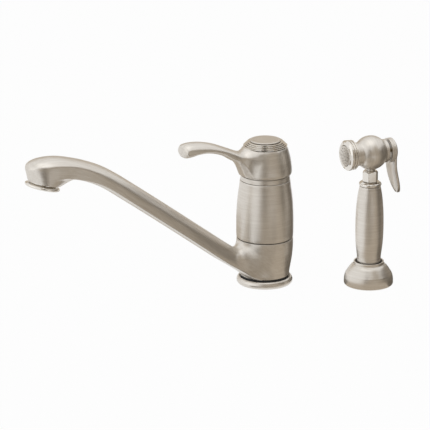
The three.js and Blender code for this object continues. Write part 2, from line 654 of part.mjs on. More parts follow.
const COLLAR_OUTLINE = [
  [23.6, 0], [24.0, 0.5], [24.1, 3.1], [24.4, 5.6], [25.1, 9.7], [25.8, 13.9], [26.7, 19],
  [27.2, 24.2], [27.6, 29.3], [27.7, 34.5], [27.7, 37.7], [27.4, 38.2],
];

// Middle of the arm's section along its length, from inside the collar to inside the head, as
// shares of the outlet's reach and height.
const ARM_LINE = [
  [0.0502, 0.0768], [0.1255, 0.1769], [0.1925, 0.2632], [0.3013, 0.4042],
  [0.4519, 0.6009], [0.5607, 0.7412], [0.6360, 0.8370], [0.7029, 0.9211],
  [0.7699, 0.9934], [0.8368, 1.0424], [0.9038, 1.0716], [0.9623, 1.0877],
].map(([reach, rise]) => [reach * OUTLET_REACH, rise * OUTLET_MOUTH]);

// Half widths of the arm at its upper and lower side edges, by share of its length.
const ARM_WIDTHS = [
  [0, 10.2, 17], [0.09, 10.4, 15.6], [0.17, 10.8, 13.8], [0.3, 11.3, 13.2], [0.6, 12.2, 13.6],
  [0.8, 13.6, 14.6], [1, 15.2, 15.6],
];

function sampled(table, share, column) {
  const next = Math.max(1, table.findIndex(([at]) => at >= share));
  const [low, high] = [table[next - 1], table[next]];
  const mix = (share - low[0]) / (high[0] - low[0]);
  return low[column] + (high[column] - low[column]) * mix;
}

function armCurve() {
  return new THREE.CatmullRomCurve3(ARM_LINE.map(([x, z]) => new THREE.Vector3(x, 0, z)));
}

function armSection(curve, share) {
  const centre = curve.getPointAt(share);
  const along = curve.getTangentAt(share);
  const across = new THREE.Vector3(0, 1, 0);
  const up = new THREE.Vector3().crossVectors(along, across);
  if (up.z < 0) up.negate();
  const upper = sampled(ARM_WIDTHS, share, 1);
  const lower = sampled(ARM_WIDTHS, share, 2);
  const top = ARM_HEIGHT / 2;
  const edge = top - ARM_ARCH;
  const half = [30, 60, 90].map((angle) => [
    upper * Math.sin(radians(angle)), edge + ARM_ARCH * Math.cos(radians(angle))]);
  half.push([lower, ARM_BEVEL - top], [0.68 * lower, -top]);
  const place = (side) => ([y, z]) => centre.clone()
    .addScaledVector(across, side * y).addScaledVector(up, z);
  return [centre.clone().addScaledVector(up, top), ...half.map(place(1)),
    ...half.map(place(-1)).reverse()];
}

function atOutlet(geometry) {
  return geometry.rotateY(-radians(OUTLET_TILT)).translate(OUTLET_REACH, 0, OUTLET_MOUTH);
}

function buildSpout(group) {
  const scale = (COLLAR_TOP - COLLAR_BOTTOM) / COLLAR_OUTLINE[COLLAR_OUTLINE.length - 1][1];
  const collar = revolve([[0, COLLAR_BOTTOM],
    ...COLLAR_OUTLINE.map(([radius, rise]) => [radius, COLLAR_BOTTOM + rise * scale]),
    [0, COLLAR_TOP]]);
  const curve = armCurve();
  const rings = [];
  for (let i = 0; i <= ARM_STEPS; i += 1) rings.push(armSection(curve, i / ARM_STEPS));
  const head = atOutlet(revolve([
    [0, 0], [HEAD_RADIUS - 0.6, 0], [HEAD_RADIUS, 0.8], [HEAD_RADIUS, 0.4 * HEAD_HEIGHT],
    [0.96 * HEAD_RADIUS, 0.6 * HEAD_HEIGHT], [0.84 * HEAD_RADIUS, 0.78 * HEAD_HEIGHT],
    [0.6 * HEAD_RADIUS, 0.91 * HEAD_HEIGHT], [0.3 * HEAD_RADIUS, 0.98 * HEAD_HEIGHT],
    [0, HEAD_HEIGHT],
  ]));
  const bore = rod(COLLAR_BORE, COLLAR_BOTTOM - 1, COLLAR_TOP + 1, INNER_SIDES);
  const glideSeat = rod(UPPER_GLIDE_OUTER + SEAT_GAP, COLLAR_TOP - GLIDE_THICKNESS,
    COLLAR_TOP + 1, OUTER_SIDES);
  const mouth = atOutlet(rod(MOUTH_RADIUS, -1, MOUTH_DEPTH, INNER_SIDES));
  const outletTop = atOutlet(new THREE.BufferGeometry().setFromPoints([
    new THREE.Vector3(0, 0, MOUTH_DEPTH - 2)])).attributes.position;
  const water = new THREE.CatmullRomCurve3([
    new THREE.Vector3(HUB_RADIUS - 1, 0, OUTLET_HEIGHT - 8),
    ...ARM_LINE.slice(1, -2).map(([x, z]) => new THREE.Vector3(x, 0, z - 1)),
    new THREE.Vector3(ARM_LINE[11][0] - 2, 0, ARM_LINE[11][1] - 1.2),
    new THREE.Vector3().fromBufferAttribute(outletTop, 0),
  ]);
  const waterway = tube(water, SPOUT_BORE_RADIUS, BORE_SIDES, ARM_STEPS);
  const below = block(-60, 100, -60, 60, -60, COLLAR_BOTTOM);
  const casting = joined(collar, loft(rings), head);
  part(group, 'spout', cut(casting, below, bore, glideSeat, mouth, waterway), brushedNickel);

  const thread = MOUTH_RADIUS - SEAT_GAP;
  const rim = AERATOR_RADIUS;
  const drop = -SEAT_GAP - 0.2;
  const lip = AERATOR_LIP;
  const housing = revolve([
    [thread - lip, MOUTH_DEPTH - 2.5], [thread, MOUTH_DEPTH - 2.5], [thread, drop],
    [rim - 0.5, drop], [rim, drop - 0.6], [rim - 0.1, drop - AERATOR_RIM + 0.7],
    [rim - 0.9, drop - AERATOR_RIM], [thread - lip - 1.2, drop - AERATOR_RIM],
    [thread - lip - 1.2, drop - AERATOR_RIM + AERATOR_FLOOR],
    [thread - lip, drop - AERATOR_RIM + AERATOR_FLOOR],
  ]);
  part(group, 'aerator_housing', atOutlet(housing), polishedNickel);
  const insert = thread - lip - SEAT_GAP;
  const screenBottom = drop - AERATOR_RIM + AERATOR_FLOOR + SEAT_GAP;
  const holes = [];
  for (let i = 0; i < FLOW_HOLES; i += 1) {
    holes.push(atBearing(rod(FLOW_HOLE_RADIUS, -9, 9, 6), 0.6 * insert, (360 * i) / FLOW_HOLES));
  }
  part(group, 'aerator_screen', atOutlet(cut(rod(insert, screenBottom, screenBottom
    + SCREEN_THICKNESS, INNER_SIDES), ...holes)), steel);
  const bodyBottom = screenBottom + SCREEN_THICKNESS + SEAT_GAP;
  const bodyTop = MOUTH_DEPTH - 3.2;
  part(group, 'aerator_insert', atOutlet(cut(rod(insert, bodyBottom, bodyTop, INNER_SIDES),
    ...holes)), whitePlastic);
  part(group, 'aerator_washer', atOutlet(ring(insert - 2.6, thread, MOUTH_DEPTH - 2.2,
    MOUTH_DEPTH - SEAT_GAP)), rubber);
}

// ---------------------------------------------------------------- side spray holder

function buildHolder(group) {
  const body = revolve([
    [HOLDER_BORE, 0], [HOLDER_RADIUS - 0.9, 0], [HOLDER_RADIUS, 1.2], [HOLDER_RADIUS, 3.4],
    [HOLDER_RADIUS - 0.4, 6.4], [HOLDER_RADIUS - 1.7, 10.6], [HOLDER_RADIUS - 3.9, 15.1],
    [HOLDER_RADIUS - 6.6, 18.7], [HOLDER_RIM_RADIUS + 0.4, HOLDER_SHOULDER],
    [HOLDER_RIM_RADIUS, HOLDER_SHOULDER + 0.6], [HOLDER_RIM_RADIUS, HOLDER_RIM - 0.4],
    [HOLDER_RIM_RADIUS - 0.3, HOLDER_RIM], [HOLDER_BORE, HOLDER_RIM],
  ]);
  const gasketInner = HOLDER_RADIUS - 5.4;
  const gasketOuter = HOLDER_RADIUS - 2.9;
  const groove = ring(gasketInner - SEAT_GAP, gasketOuter + SEAT_GAP, -1,
    GASKET_THICKNESS + SEAT_GAP, OUTER_SIDES);
  part(group, 'spray_holder', cut(body, groove), brushedNickel);
  part(group, 'holder_gasket', ring(gasketInner, gasketOuter, 0, GASKET_THICKNESS,
    OUTER_SIDES), rubber);
  const liner = HOLDER_BORE - SEAT_GAP;
  part(group, 'holder_liner', ring(liner - LINER_WALL, liner, 1, HOLDER_RIM - 0.8,
    OUTER_SIDES), blackPlastic);
}

// ---------------------------------------------------------------- side spray handset

const SOCKET_RADIUS = 8.6;
const SOCKET_TOP = 24;
const BEAD_BOTTOM = GRIP_TOP + SEAT_GAP;
const BEAD_TOP = BEAD_BOTTOM + BEAD_HEIGHT;
const NUT_BOTTOM = BEAD_TOP + SEAT_GAP;
const NUT_TOP = NUT_BOTTOM + NECK_NUT_HEIGHT;
const STUB_BOTTOM = GRIP_TOP - STUB_DEPTH;

// Outer radius of the grip, as shares of the way from its tail radius to its middle radius, at
// shares of its height above the holder; the last stretch falls to the top radius.
const GRIP_SWELL = [
  [0.0, 0.0], [0.06, 0.12], [0.14, 0.5], [0.24, 0.88], [0.38, 1.0], [0.54, 0.98], [0.66, 0.85],
];

function gripOutline() {
  const start = HOLDER_RIM + 3;
  const span = GRIP_TOP - start;
  const swell = GRIP_MIDDLE_RADIUS - GRIP_TAIL_RADIUS;
  const fall = GRIP_MIDDLE_RADIUS - GRIP_TOP_RADIUS;
  return [
    [GRIP_TAIL_RADIUS - 1, GRIP_BOTTOM], [GRIP_TAIL_RADIUS, GRIP_BOTTOM + 1.5],
    ...GRIP_SWELL.map(([rise, share]) => [
      GRIP_TAIL_RADIUS + swell * share, start + span * rise]),
    [GRIP_MIDDLE_RADIUS - 0.22 * fall, start + 0.75 * span],
    [GRIP_MIDDLE_RADIUS - 0.4 * fall, start + 0.84 * span],
    [GRIP_MIDDLE_RADIUS - 0.66 * fall, start + 0.92 * span],
    [GRIP_TOP_RADIUS, GRIP_TOP],
  ];
}

// Lays a shape made about +Z along the head's own axis, front facing +X.
function alongHead(geometry) {
  return geometry.rotateY(Math.PI / 2).translate(0, 0, BALL_HEIGHT);
}

function headRod(radius, back, front, sides = INNER_SIDES) {
  return alongHead(rod(radius, back, front, sides));
}

function buildGrip(group) {
  const grip = revolve([
    [SOCKET_RADIUS, GRIP_BOTTOM], ...gripOutline(), [STUB_RADIUS + SEAT_GAP, GRIP_TOP],
    [STUB_RADIUS + SEAT_GAP, STUB_BOTTOM - SEAT_GAP], [GRIP_BORE, STUB_BOTTOM - SEAT_GAP],
    [GRIP_BORE, SOCKET_TOP], [SOCKET_RADIUS, SOCKET_TOP],
  ]);
  part(group, 'spray_grip', grip, brushedNickel);

  const nippleRadius = SOCKET_RADIUS - SEAT_GAP;
  const washerTop = SOCKET_TOP - SEAT_GAP;
  const nippleTop = washerTop - NIPPLE_WASHER - SEAT_GAP;
  part(group, 'nipple_washer', ring(NIPPLE_WASHER_BORE, nippleRadius,
    washerTop - NIPPLE_WASHER, washerTop), rubber);
  const clipBottom = GRIP_BOTTOM + SEAT_GAP;
  const clipTop = clipBottom + CLIP_THICKNESS;
  const shank = 6;
  const tail = 1;
  part(group, 'hose_nipple', revolve([
    [RISER_BORE, tail], [shank - 0.6, tail], [shank, tail + 0.8], [shank, clipTop + SEAT_GAP],
    [nippleRadius, clipTop + SEAT_GAP], [nippleRadius, nippleTop], [RISER_BORE, nippleTop],
  ], INNER_SIDES), brass);
  part(group, 'snap_ring', ring(CLIP_INNER, nippleRadius, clipBottom, clipTop), steel);

  const bore = STUB_RADIUS + SEAT_GAP;
  part(group, 'grip_ring', revolve([
    [bore, BEAD_BOTTOM], [BEAD_RADIUS - 0.9, BEAD_BOTTOM], [BEAD_RADIUS - 0.1, BEAD_BOTTOM + 1.2],
    [BEAD_RADIUS, BEAD_BOTTOM + 2.2], [BEAD_RADIUS - 0.5, BEAD_BOTTOM + 3.4],
    [BEAD_RADIUS - 1.6, BEAD_TOP], [bore, BEAD_TOP],
  ]), polishedNickel);

  const chamfer = revolve([
    [0, NUT_BOTTOM], [NUT_CORNER_RADIUS, NUT_BOTTOM], [NUT_CORNER_RADIUS, NUT_TOP - 1.6],
    [NUT_CORNER_RADIUS - HEX_CHAMFER, NUT_TOP], [0, NUT_TOP],
  ], INNER_SIDES);
  const hexagon = rod(NUT_CORNER_RADIUS, NUT_BOTTOM, NUT_TOP, 6).rotateZ(radians(HEX_TURN));
  const nut = geometryOf(solid(hexagon).intersect(solid(chamfer)));
  part(group, 'neck_nut', cut(nut, rod(bore, NUT_BOTTOM - 1, NUT_TOP + 1)), polishedNickel);
}

function buildHead(group) {
  const ball = new THREE.SphereGeometry(BALL_RADIUS, OUTER_SIDES, OUTER_SIDES / 2)
    .translate(0, 0, BALL_HEIGHT);
  const frontNeck = headRod(FRONT_NECK_RADIUS, 0, FRONT_NECK_END, OUTER_SIDES);
  const backNeck = headRod(BACK_NECK_RADIUS, -BACK_NECK_END, 0, OUTER_SIDES);
  const stub = rod(STUB_RADIUS, STUB_BOTTOM, BALL_HEIGHT - 10);
  const valveBore = headRod(VALVE_BORE, VALVE_SEAT_BACK - SEAT_GAP, FRONT_NECK_END + 1);
  const inletChamber = headRod(VALVE_BORE - 1.7, -PLUG_DEPTH, VALVE_SEAT_BACK);
  const plugBore = headRod(PLUG_RADIUS + SEAT_GAP, -BACK_NECK_END - 1, -PLUG_DEPTH);
  const riser = rod(RISER_BORE, STUB_BOTTOM - 1, BALL_HEIGHT, BORE_SIDES);
  part(group, 'spray_head', cut(joined(ball, frontNeck, backNeck, stub), valveBore,
    inletChamber, plugBore, riser), brushedNickel);

  const edge = FACE_RING_RADIUS;
  const back = FACE_RING_BACK;
  part(group, 'face_ring', alongHead(revolve([
    [FRONT_NECK_RADIUS + SEAT_GAP, back], [edge - 0.5, back], [edge, back + 0.6],
    [edge, back + 2.1], [edge - 0.5, back + 2.4], [edge, back + 2.7], [edge, back + 4.2],
    [edge - 0.5, back + 4.5], [edge, back + 4.8], [edge, back + 6.6], [edge - 0.8, back + 7.6],
    [FACE_PLATE_RADIUS + 0.8, FACE_PLATE_FRONT - 0.7],
    [FACE_PLATE_RADIUS + SEAT_GAP, FACE_PLATE_FRONT - 0.7],
    [FACE_PLATE_RADIUS + SEAT_GAP, FRONT_NECK_END + SEAT_GAP],
    [FRONT_NECK_RADIUS + SEAT_GAP, FRONT_NECK_END + SEAT_GAP],
  ], OUTER_SIDES)), polishedNickel);

  const insert = VALVE_BORE - SEAT_GAP;
  const retainerFront = RETAINER_BACK + RETAINER_THICKNESS;
  const sealFront = retainerFront + SEAT_GAP + PLATE_SEAL_THICKNESS;
  const plate = alongHead(revolve([
    [0, sealFront + SEAT_GAP], [insert, sealFront + SEAT_GAP], [insert, FRONT_NECK_END + SEAT_GAP],
    [FACE_PLATE_RADIUS, FRONT_NECK_END + SEAT_GAP], [FACE_PLATE_RADIUS, FACE_PLATE_FRONT - 0.4],
    [FACE_PLATE_RADIUS - 0.5, FACE_PLATE_FRONT], [0, FACE_PLATE_FRONT],
  ], OUTER_SIDES));
  const jets = JET_CIRCLES.flatMap(([count, circle]) => (
    Array.from({ length: count }, (_, i) => (
      alongHead(atBearing(rod(JET_RADIUS, sealFront - 1, FACE_PLATE_FRONT + 1, 6), circle,
        (360 * i) / count))))));
  part(group, 'spray_plate', cut(plate, ...jets), brushedNickel);
  part(group, 'plate_seal', alongHead(ring(insert - PLATE_SEAL_WIDTH, insert, retainerFront + SEAT_GAP,
    sealFront)), rubber);
  const windows = [0, 90, 180, 270].map((bearing) => (
    alongHead(atBearing(rod(WINDOW_RADIUS, RETAINER_BACK - 1, retainerFront + 1, BORE_SIDES),
      WINDOW_CIRCLE, bearing))));
  part(group, 'spring_retainer', cut(headRod(insert, RETAINER_BACK, retainerFront), ...windows,
    headRod(2, RETAINER_BACK - 1, retainerFront + 1, BORE_SIDES)), brass);
  part(group, 'valve_seat', alongHead(ring(PLUNGER_RADIUS + 1.2, insert, VALVE_SEAT_BACK,
    VALVE_SEAT_BACK + SEAT_THICKNESS)), rubber);
}

const PLUG_RADIUS = 9.6;
const PLUG_DEPTH = 8;
const PLUG_FACE = 1.5;
const LUG_HALF = 2.5;
const LUG_RADIUS = 2.2;
const LUG_RISE = 4.5;
const LUG_SLACK = 0.4;
const GLAND_DEPTH = 2.4;
const RING_BACK = BACK_NECK_END + TRIGGER_GAP;
const LIP_BACK = RING_BACK + TRIGGER_LIP;
const PLATE_BACK = LIP_BACK + TRIGGER_PLATE;
const PIN_BACK = RING_BACK + 1.6;
const PIN_HEIGHT = BALL_HEIGHT + TRIGGER_PIN_RISE;

function acrossHead(radius, length, sides = BORE_SIDES) {
  return rod(radius, -length / 2, length / 2, sides).rotateX(Math.PI / 2)
    .translate(-PIN_BACK, 0, PIN_HEIGHT);
}

function buildValve(group) {
  const plug = headRod(PLUG_RADIUS, -BACK_NECK_END, -PLUG_DEPTH - SEAT_GAP);
  const plugFace = headRod(PLUG_RADIUS - 1.2, -BACK_NECK_END - PLUG_FACE, -PLUG_DEPTH - 1);
  const lug = joined(block(-PIN_BACK, -BACK_NECK_END - SEAT_GAP, -LUG_HALF, LUG_HALF,
    BALL_HEIGHT + LUG_RISE, PIN_HEIGHT + LUG_RADIUS),
  acrossHead(LUG_RADIUS, 2 * LUG_HALF, SMALL_SIDES));
  const guide = headRod(PLUNGER_RADIUS + SEAT_GAP, -RING_BACK, 0, SMALL_SIDES);
  const gland = headRod(PLUNGER_RADIUS + 2, -PLUG_DEPTH - GLAND_DEPTH, 0, SMALL_SIDES);
  part(group, 'back_plug', cut(joined(plug, plugFace, lug), guide, gland,
    acrossHead(TRIGGER_PIN_RADIUS + SEAT_GAP, 10)), brushedNickel);
  part(group, 'pivot_pin', acrossHead(TRIGGER_PIN_RADIUS, TRIGGER_PIN_LENGTH), steel);

  const poppetBack = VALVE_SEAT_BACK + SEAT_THICKNESS + SEAT_GAP;
  const poppetFront = poppetBack + POPPET_HEIGHT;
  part(group, 'valve_plunger', alongHead(revolve([
    [0, SEAT_GAP - LIP_BACK], [PLUNGER_RADIUS, SEAT_GAP - LIP_BACK], [PLUNGER_RADIUS, poppetBack],
    [POPPET_RADIUS, poppetBack], [POPPET_RADIUS, poppetFront],
    [SPRING_GUIDE_RADIUS, poppetFront], [SPRING_GUIDE_RADIUS, poppetFront + SPRING_GUIDE_LENGTH],
    [0, poppetFront + SPRING_GUIDE_LENGTH],
  ], SMALL_SIDES)), brass);
  part(group, 'plunger_oring', alongHead(cordRing(PLUNGER_RADIUS + 1.15, -PLUG_DEPTH - 1.1, 0.8,
    SMALL_SIDES)), rubber);

  const springBack = poppetFront + 0.9 + SPRING_WIRE;
  const springFront = RETAINER_BACK - SEAT_GAP - SPRING_WIRE;
  class Helix extends THREE.Curve {
    getPoint(share, target = new THREE.Vector3()) {
      const angle = 2 * Math.PI * SPRING_TURNS * share;
      const along = springBack + (springFront - springBack) * share;
      return target.set(SPRING_RADIUS * Math.cos(angle), SPRING_RADIUS * Math.sin(angle), along);
    }
  }
  part(group, 'valve_spring', alongHead(tube(new Helix(), SPRING_WIRE, 5, 8 * SPRING_TURNS)),
    steel);
}

function buildTrigger(group) {
  const disc = headRod(TRIGGER_RADIUS, -PLATE_BACK, -RING_BACK, OUTER_SIDES);
  const half = TRIGGER_WIDTH / 2;
  // The strap hangs from the disc and flares away from the grip towards its rounded end.
  const strapTop = BALL_HEIGHT - 2;
  const strapEnd = BALL_HEIGHT - TRIGGER_DROP;
  const strap = (shareDown) => {
    const height = strapTop + (strapEnd - strapTop) * shareDown;
    const back = LIP_BACK + TRIGGER_FLARE * Math.max(0, (shareDown - 0.3) / 0.7) ** 1.15;
    return [height, back];
  };
  const rings = [0, 0.15, 0.3, 0.45, 0.6, 0.75, 0.86, 0.94, 0.985, 1].map((share) => {
    const [height, back] = strap(share);
    const tipShare = Math.max(0, (share - 0.75) / 0.25);
    const width = half * Math.sqrt(Math.max(0.03, 1 - tipShare ** 2.4));
    const thick = TRIGGER_PLATE + 0.3 * share;
    return [
      [-back, -width], [-back, width], [-back - thick + 0.7, width], [-back - thick, width - 0.9],
      [-back - thick, 0.9 - width], [-back - thick + 0.7, -width],
    ].map(([x, y]) => new THREE.Vector3(x, y, height));
  });
  const recess = headRod(TRIGGER_RADIUS - 2.4, -LIP_BACK, -RING_BACK + 1, OUTER_SIDES);
  const slotHalf = LUG_HALF + LUG_SLACK;
  const slot = block(-LIP_BACK - 1.1, -RING_BACK + 1, -slotHalf, slotHalf, BALL_HEIGHT + 4,
    BALL_HEIGHT + TRIGGER_RADIUS + 1);
  part(group, 'trigger_lever', cut(joined(disc, loft(rings)), recess, slot,
    acrossHead(TRIGGER_PIN_RADIUS + SEAT_GAP, TRIGGER_PIN_LENGTH + 2 * SEAT_GAP)), brushedNickel);
}

// ---------------------------------------------------------------- assembly

buildBase(faucet);
buildShell(faucet);
buildCartridge(faucet, handleGroup);
buildHandle(handleGroup);
buildSpout(spoutGroup);
buildHolder(holderGroup);
buildGrip(sprayGroup);
buildHead(sprayGroup);
buildValve(sprayGroup);
buildTrigger(sprayGroup);

export default faucet;
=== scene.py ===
# %% [markdown]
# # A kitchen faucet and its side spray, in brushed nickel
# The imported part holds 51 plain solids. This script dresses them: every piece that shows gets a
# smooth mesh of its own, and every piece gets a finish. The solids stay where they are, because
# the joints were tested with them, so each new mesh is fitted to the size of its solid.

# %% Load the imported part
import json
import math

import bpy
import numpy as np
from mathutils import Matrix, Vector


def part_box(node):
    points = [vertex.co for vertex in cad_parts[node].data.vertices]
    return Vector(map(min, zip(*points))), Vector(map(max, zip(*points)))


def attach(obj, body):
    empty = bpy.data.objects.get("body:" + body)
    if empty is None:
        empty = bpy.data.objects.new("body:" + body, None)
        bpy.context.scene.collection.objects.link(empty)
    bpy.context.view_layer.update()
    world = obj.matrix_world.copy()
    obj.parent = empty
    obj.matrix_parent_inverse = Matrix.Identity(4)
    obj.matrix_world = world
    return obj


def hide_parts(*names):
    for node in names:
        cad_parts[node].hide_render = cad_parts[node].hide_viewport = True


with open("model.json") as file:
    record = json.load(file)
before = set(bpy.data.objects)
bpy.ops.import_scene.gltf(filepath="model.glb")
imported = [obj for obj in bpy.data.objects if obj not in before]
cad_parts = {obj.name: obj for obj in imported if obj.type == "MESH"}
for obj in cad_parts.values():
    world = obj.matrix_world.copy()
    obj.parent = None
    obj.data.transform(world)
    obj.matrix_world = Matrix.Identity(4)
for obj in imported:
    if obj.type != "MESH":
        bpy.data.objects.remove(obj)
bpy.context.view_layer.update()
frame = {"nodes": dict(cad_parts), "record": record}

# %% [markdown]
# ## Where things stand
# All shapes are written in millimetres, in the small frame of the group they belong to: the
# faucet's own axis, the direction of its spout, the spray's axis, the spray head lying along its
# own line. One matrix for each group carries them to the metres of the part.

# %% The groups' frames
MM = 0.001
HOLE_PITCH = 101.6
SPOUT_BEARING = 213.2
SPRAY_BEARING = 207.5
BALL_HEIGHT = 132.9
OUTLET_REACH, OUTLET_MOUTH, OUTLET_TILT = 239.0, 136.8, 15.0


def turned_to(bearing, x=0.0):
    return Matrix.Translation((x, 0, 0)) @ Matrix.Rotation(math.radians(bearing), 4, "Z")


UPRIGHT = Matrix.Identity(4)
TOWARDS_SINK = turned_to(SPOUT_BEARING)
OUTLET = (TOWARDS_SINK @ Matrix.Translation((OUTLET_REACH, 0, OUTLET_MOUTH))
          @ Matrix.Rotation(math.radians(-OUTLET_TILT), 4, "Y"))
SPRAY = turned_to(SPRAY_BEARING, HOLE_PITCH)
SPRAY_HEAD = (SPRAY @ Matrix.Translation((0, 0, BALL_HEIGHT))
              @ Matrix.Rotation(math.radians(90), 4, "Y"))


def span(node):
    """Bottom and top of a solid, in millimetres."""
    low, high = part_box(node)
    return low.z / MM, high.z / MM


for node in ("base_ring", "body_shell", "bonnet_ring", "ridged_trim_ring", "spray_grip"):
    print(node, [round(v, 2) for v in span(node)])

# %% [markdown]
# ## Shader maths as plain expressions
# A finish is a small calculation on noise and masks. Written node by node it is hard to read, so
# one class wraps a socket and turns plus and times into Math nodes. Colours and vectors have
# their own two methods, because a Math node would turn them grey.

# %% A socket that can be calculated with


class Signal:
    def __init__(self, tree, socket):
        self.tree, self.socket = tree, socket

    def maths(self, operation, first, second):
        return add_node(self.tree, "ShaderNodeMath", [("operation", operation)],
                        **{"0": first, "1": second})

    def __add__(self, other):
        return self.maths("ADD", self, other)

    def __mul__(self, other):
        return self.maths("MULTIPLY", self, other)

    def mix(self, first, second):
        """From the first colour to the second as this value goes from 0 to 1."""
        return add_node(self.tree, "ShaderNodeMix", [("data_type", "RGBA")], output=2,
                        **{"0": self, "6": first, "7": second})

    def scaled(self, by):
        """A vector stretched by three numbers."""
        return add_node(self.tree, "ShaderNodeVectorMath", [("operation", "MULTIPLY")],
                        **{"0": self, "1": by})


def add_node(tree, kind, settings=(), output=0, **inputs):
    """Adds a node, sets its settings first and its sockets next, and returns one output."""
    node = tree.nodes.new(kind)
    for name, value in settings:
        setattr(node, name, value)
    for name, value in inputs.items():
        socket = node.inputs[int(name) if name.isdigit() else name.replace("_", " ")]
        if isinstance(value, Signal):
            tree.links.new(value.socket, socket)
        else:
            socket.default_value = value
    return Signal(tree, node.outputs[output]) if node.outputs else None


def new_finish(name):
    made = bpy.data.materials.new(name)
    made.use_nodes = True
    made.node_tree.nodes.clear()
    return made, made.node_tree


def end_finish(tree, shader):
    add_node(tree, "ShaderNodeOutputMaterial", Surface=shader)


def end_with_bump(tree, colour, roughness, metallic, relief, strength, depth):
    bump = add_node(tree, "ShaderNodeBump", Height=relief, Strength=strength, Distance=depth)
    end_finish(tree, add_node(tree, "ShaderNodeBsdfPrincipled", Base_Color=colour,
                              Roughness=roughness, Metallic=metallic, Normal=bump))


print("sockets can be added, scaled and mixed")

# %% [markdown]
# ## Brushed and polished nickel
# The faucet is plated with nickel and then brushed, so fine lines run round the turned pieces and
# along the arm and the lever. Each mesh of this script carries a vector named grain: two of its
# numbers change slowly along the lines and one or two fast across them. Noise read from it gives
# lines that turn with the surface, with no image and no seam, for colour, roughness and a bump.

# %% Nickel
NICKEL = (0.74, 0.705, 0.655, 1)
NICKEL_WORN = (0.63, 0.59, 0.535, 1)
POLISHED = (0.74, 0.71, 0.66, 1)


def nickel(name, light, dark, roughness, line_depth, streak):
    made, tree = new_finish(name)
    grain = add_node(tree, "ShaderNodeAttribute", [("attribute_name", "grain")], output=1)
    broad = add_node(tree, "ShaderNodeTexNoise", Vector=grain.scaled((1.0, 0.35, 0.35)),
                     Scale=1.0, Detail=3.0, Roughness=0.6)
    fine = add_node(tree, "ShaderNodeTexNoise", Vector=grain.scaled((1.0, 2.2, 2.2)),
                    Scale=1.0, Detail=2.0, Roughness=0.5)
    lines = broad * 0.6 + fine * 0.4
    tone = add_node(tree, "ShaderNodeMapRange", Value=lines, From_Min=0.36, From_Max=0.64)
    end_with_bump(tree, tone.mix(dark, light), lines * streak + roughness, 1.0,
                  fine, line_depth, 0.0001)
    return made


FINISHES = {
    "brushed_nickel": nickel("brushed_nickel", NICKEL, NICKEL_WORN, 0.27, 0.15, 0.18),
    "polished_nickel": nickel("polished_nickel", POLISHED, NICKEL, 0.10, 0.02, 0.04),
}
print(sorted(FINISHES))

# %% [markdown]
# ## The finishes inside
# Brass, steel, ceramic, rubber and plastic pieces work inside the faucet and show only at the
# joints, under the outlet and under the spray. They keep the mesh of their solid. A soft cloudy
# noise in the colour and the roughness keeps them from looking like one flat tone.

# %% Brass, steel, ceramic, rubber and plastic


def plain_finish(name, light, dark, roughness, metallic, size):
    made, tree = new_finish(name)
    place = add_node(tree, "ShaderNodeTexCoord", output=3)
    cloud = add_node(tree, "ShaderNodeTexNoise", Vector=place, Scale=size, Detail=4.0)
    end_with_bump(tree, cloud.mix(dark, light), cloud * 0.12 + roughness, metallic,
                  cloud, 0.08, 0.0002)
    return made


for name, light, dark, roughness, metallic, size in (
    ("brass", (0.72, 0.57, 0.33, 1), (0.62, 0.48, 0.27, 1), 0.24, 1.0, 90.0),
    ("steel", (0.66, 0.67, 0.69, 1), (0.56, 0.57, 0.59, 1), 0.20, 1.0, 120.0),
    ("ceramic", (0.88, 0.87, 0.82, 1), (0.84, 0.83, 0.78, 1), 0.22, 0.0, 60.0),
    ("rubber", (0.035, 0.035, 0.035, 1), (0.02, 0.02, 0.02, 1), 0.62, 0.0, 150.0),
    ("black_plastic", (0.035, 0.035, 0.037, 1), (0.025, 0.025, 0.026, 1), 0.42, 0.0, 80.0),
    ("white_plastic", (0.73, 0.72, 0.69, 1), (0.68, 0.67, 0.64, 1), 0.38, 0.0, 80.0),
):
    FINISHES[name] = plain_finish(name, light, dark, roughness, metallic, size)
slot_of = {row["node"]: row["material_slot"] for row in frame["record"]["subparts"]}
for node, solid in frame["nodes"].items():
    solid.data.materials.clear()
    solid.data.materials.append(FINISHES[slot_of[node]])
print(len(frame["nodes"]), "solids have a finish")

# %% [markdown]
# ## Putting a mesh into the scene
# Every new piece goes the same way: its points are carried to the part's metres, it gets smooth
# normals, exact ones where they are known, and its grain, it takes the finish of the solid that it
# stands for, it rides on its body, and that solid is hidden. One function does all of it, so that
# no piece is left behind when a joint moves.

# %% One function for every new piece
body_of = {node: body for body, nodes in frame["record"]["behaviour"]["bodies"].items()
           for node in nodes}


def new_object(name, points, faces):
    """A mesh with its points in metres, in an object of the scene."""
    mesh = bpy.data.meshes.new(name)
    mesh.from_pydata(points, [], [list(face) for face in faces])
    made = bpy.data.objects.new(name, mesh)
    bpy.context.scene.collection.objects.link(made)
    return made


def placed(points, place):
    """Millimetres in a group's frame become metres of the part."""
    turn = np.array(place.to_3x3())
    return ((np.asarray(points, float) @ turn.T + np.array(place.translation)) * MM).tolist()


def show(name, points, faces, normals, grain, place, node):
    """Points are in millimetres in the frame of place. The piece stands for the solid node."""
    piece = new_object(name, placed(points, place), faces)
    mesh = piece.data
    mesh.validate()
    mesh.attributes.new("grain", "FLOAT_VECTOR", "POINT").data.foreach_set(
        "vector", np.asarray(grain, np.float32).ravel())
    mesh.shade_smooth()
    if normals is not None:
        turn = np.array(place.to_3x3())
        mesh.normals_split_custom_set_from_vertices((np.asarray(normals, float) @ turn.T).tolist())
    mesh.materials.append(FINISHES[slot_of[node]])
    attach(piece, body_of[node])
    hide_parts(node)
    return piece


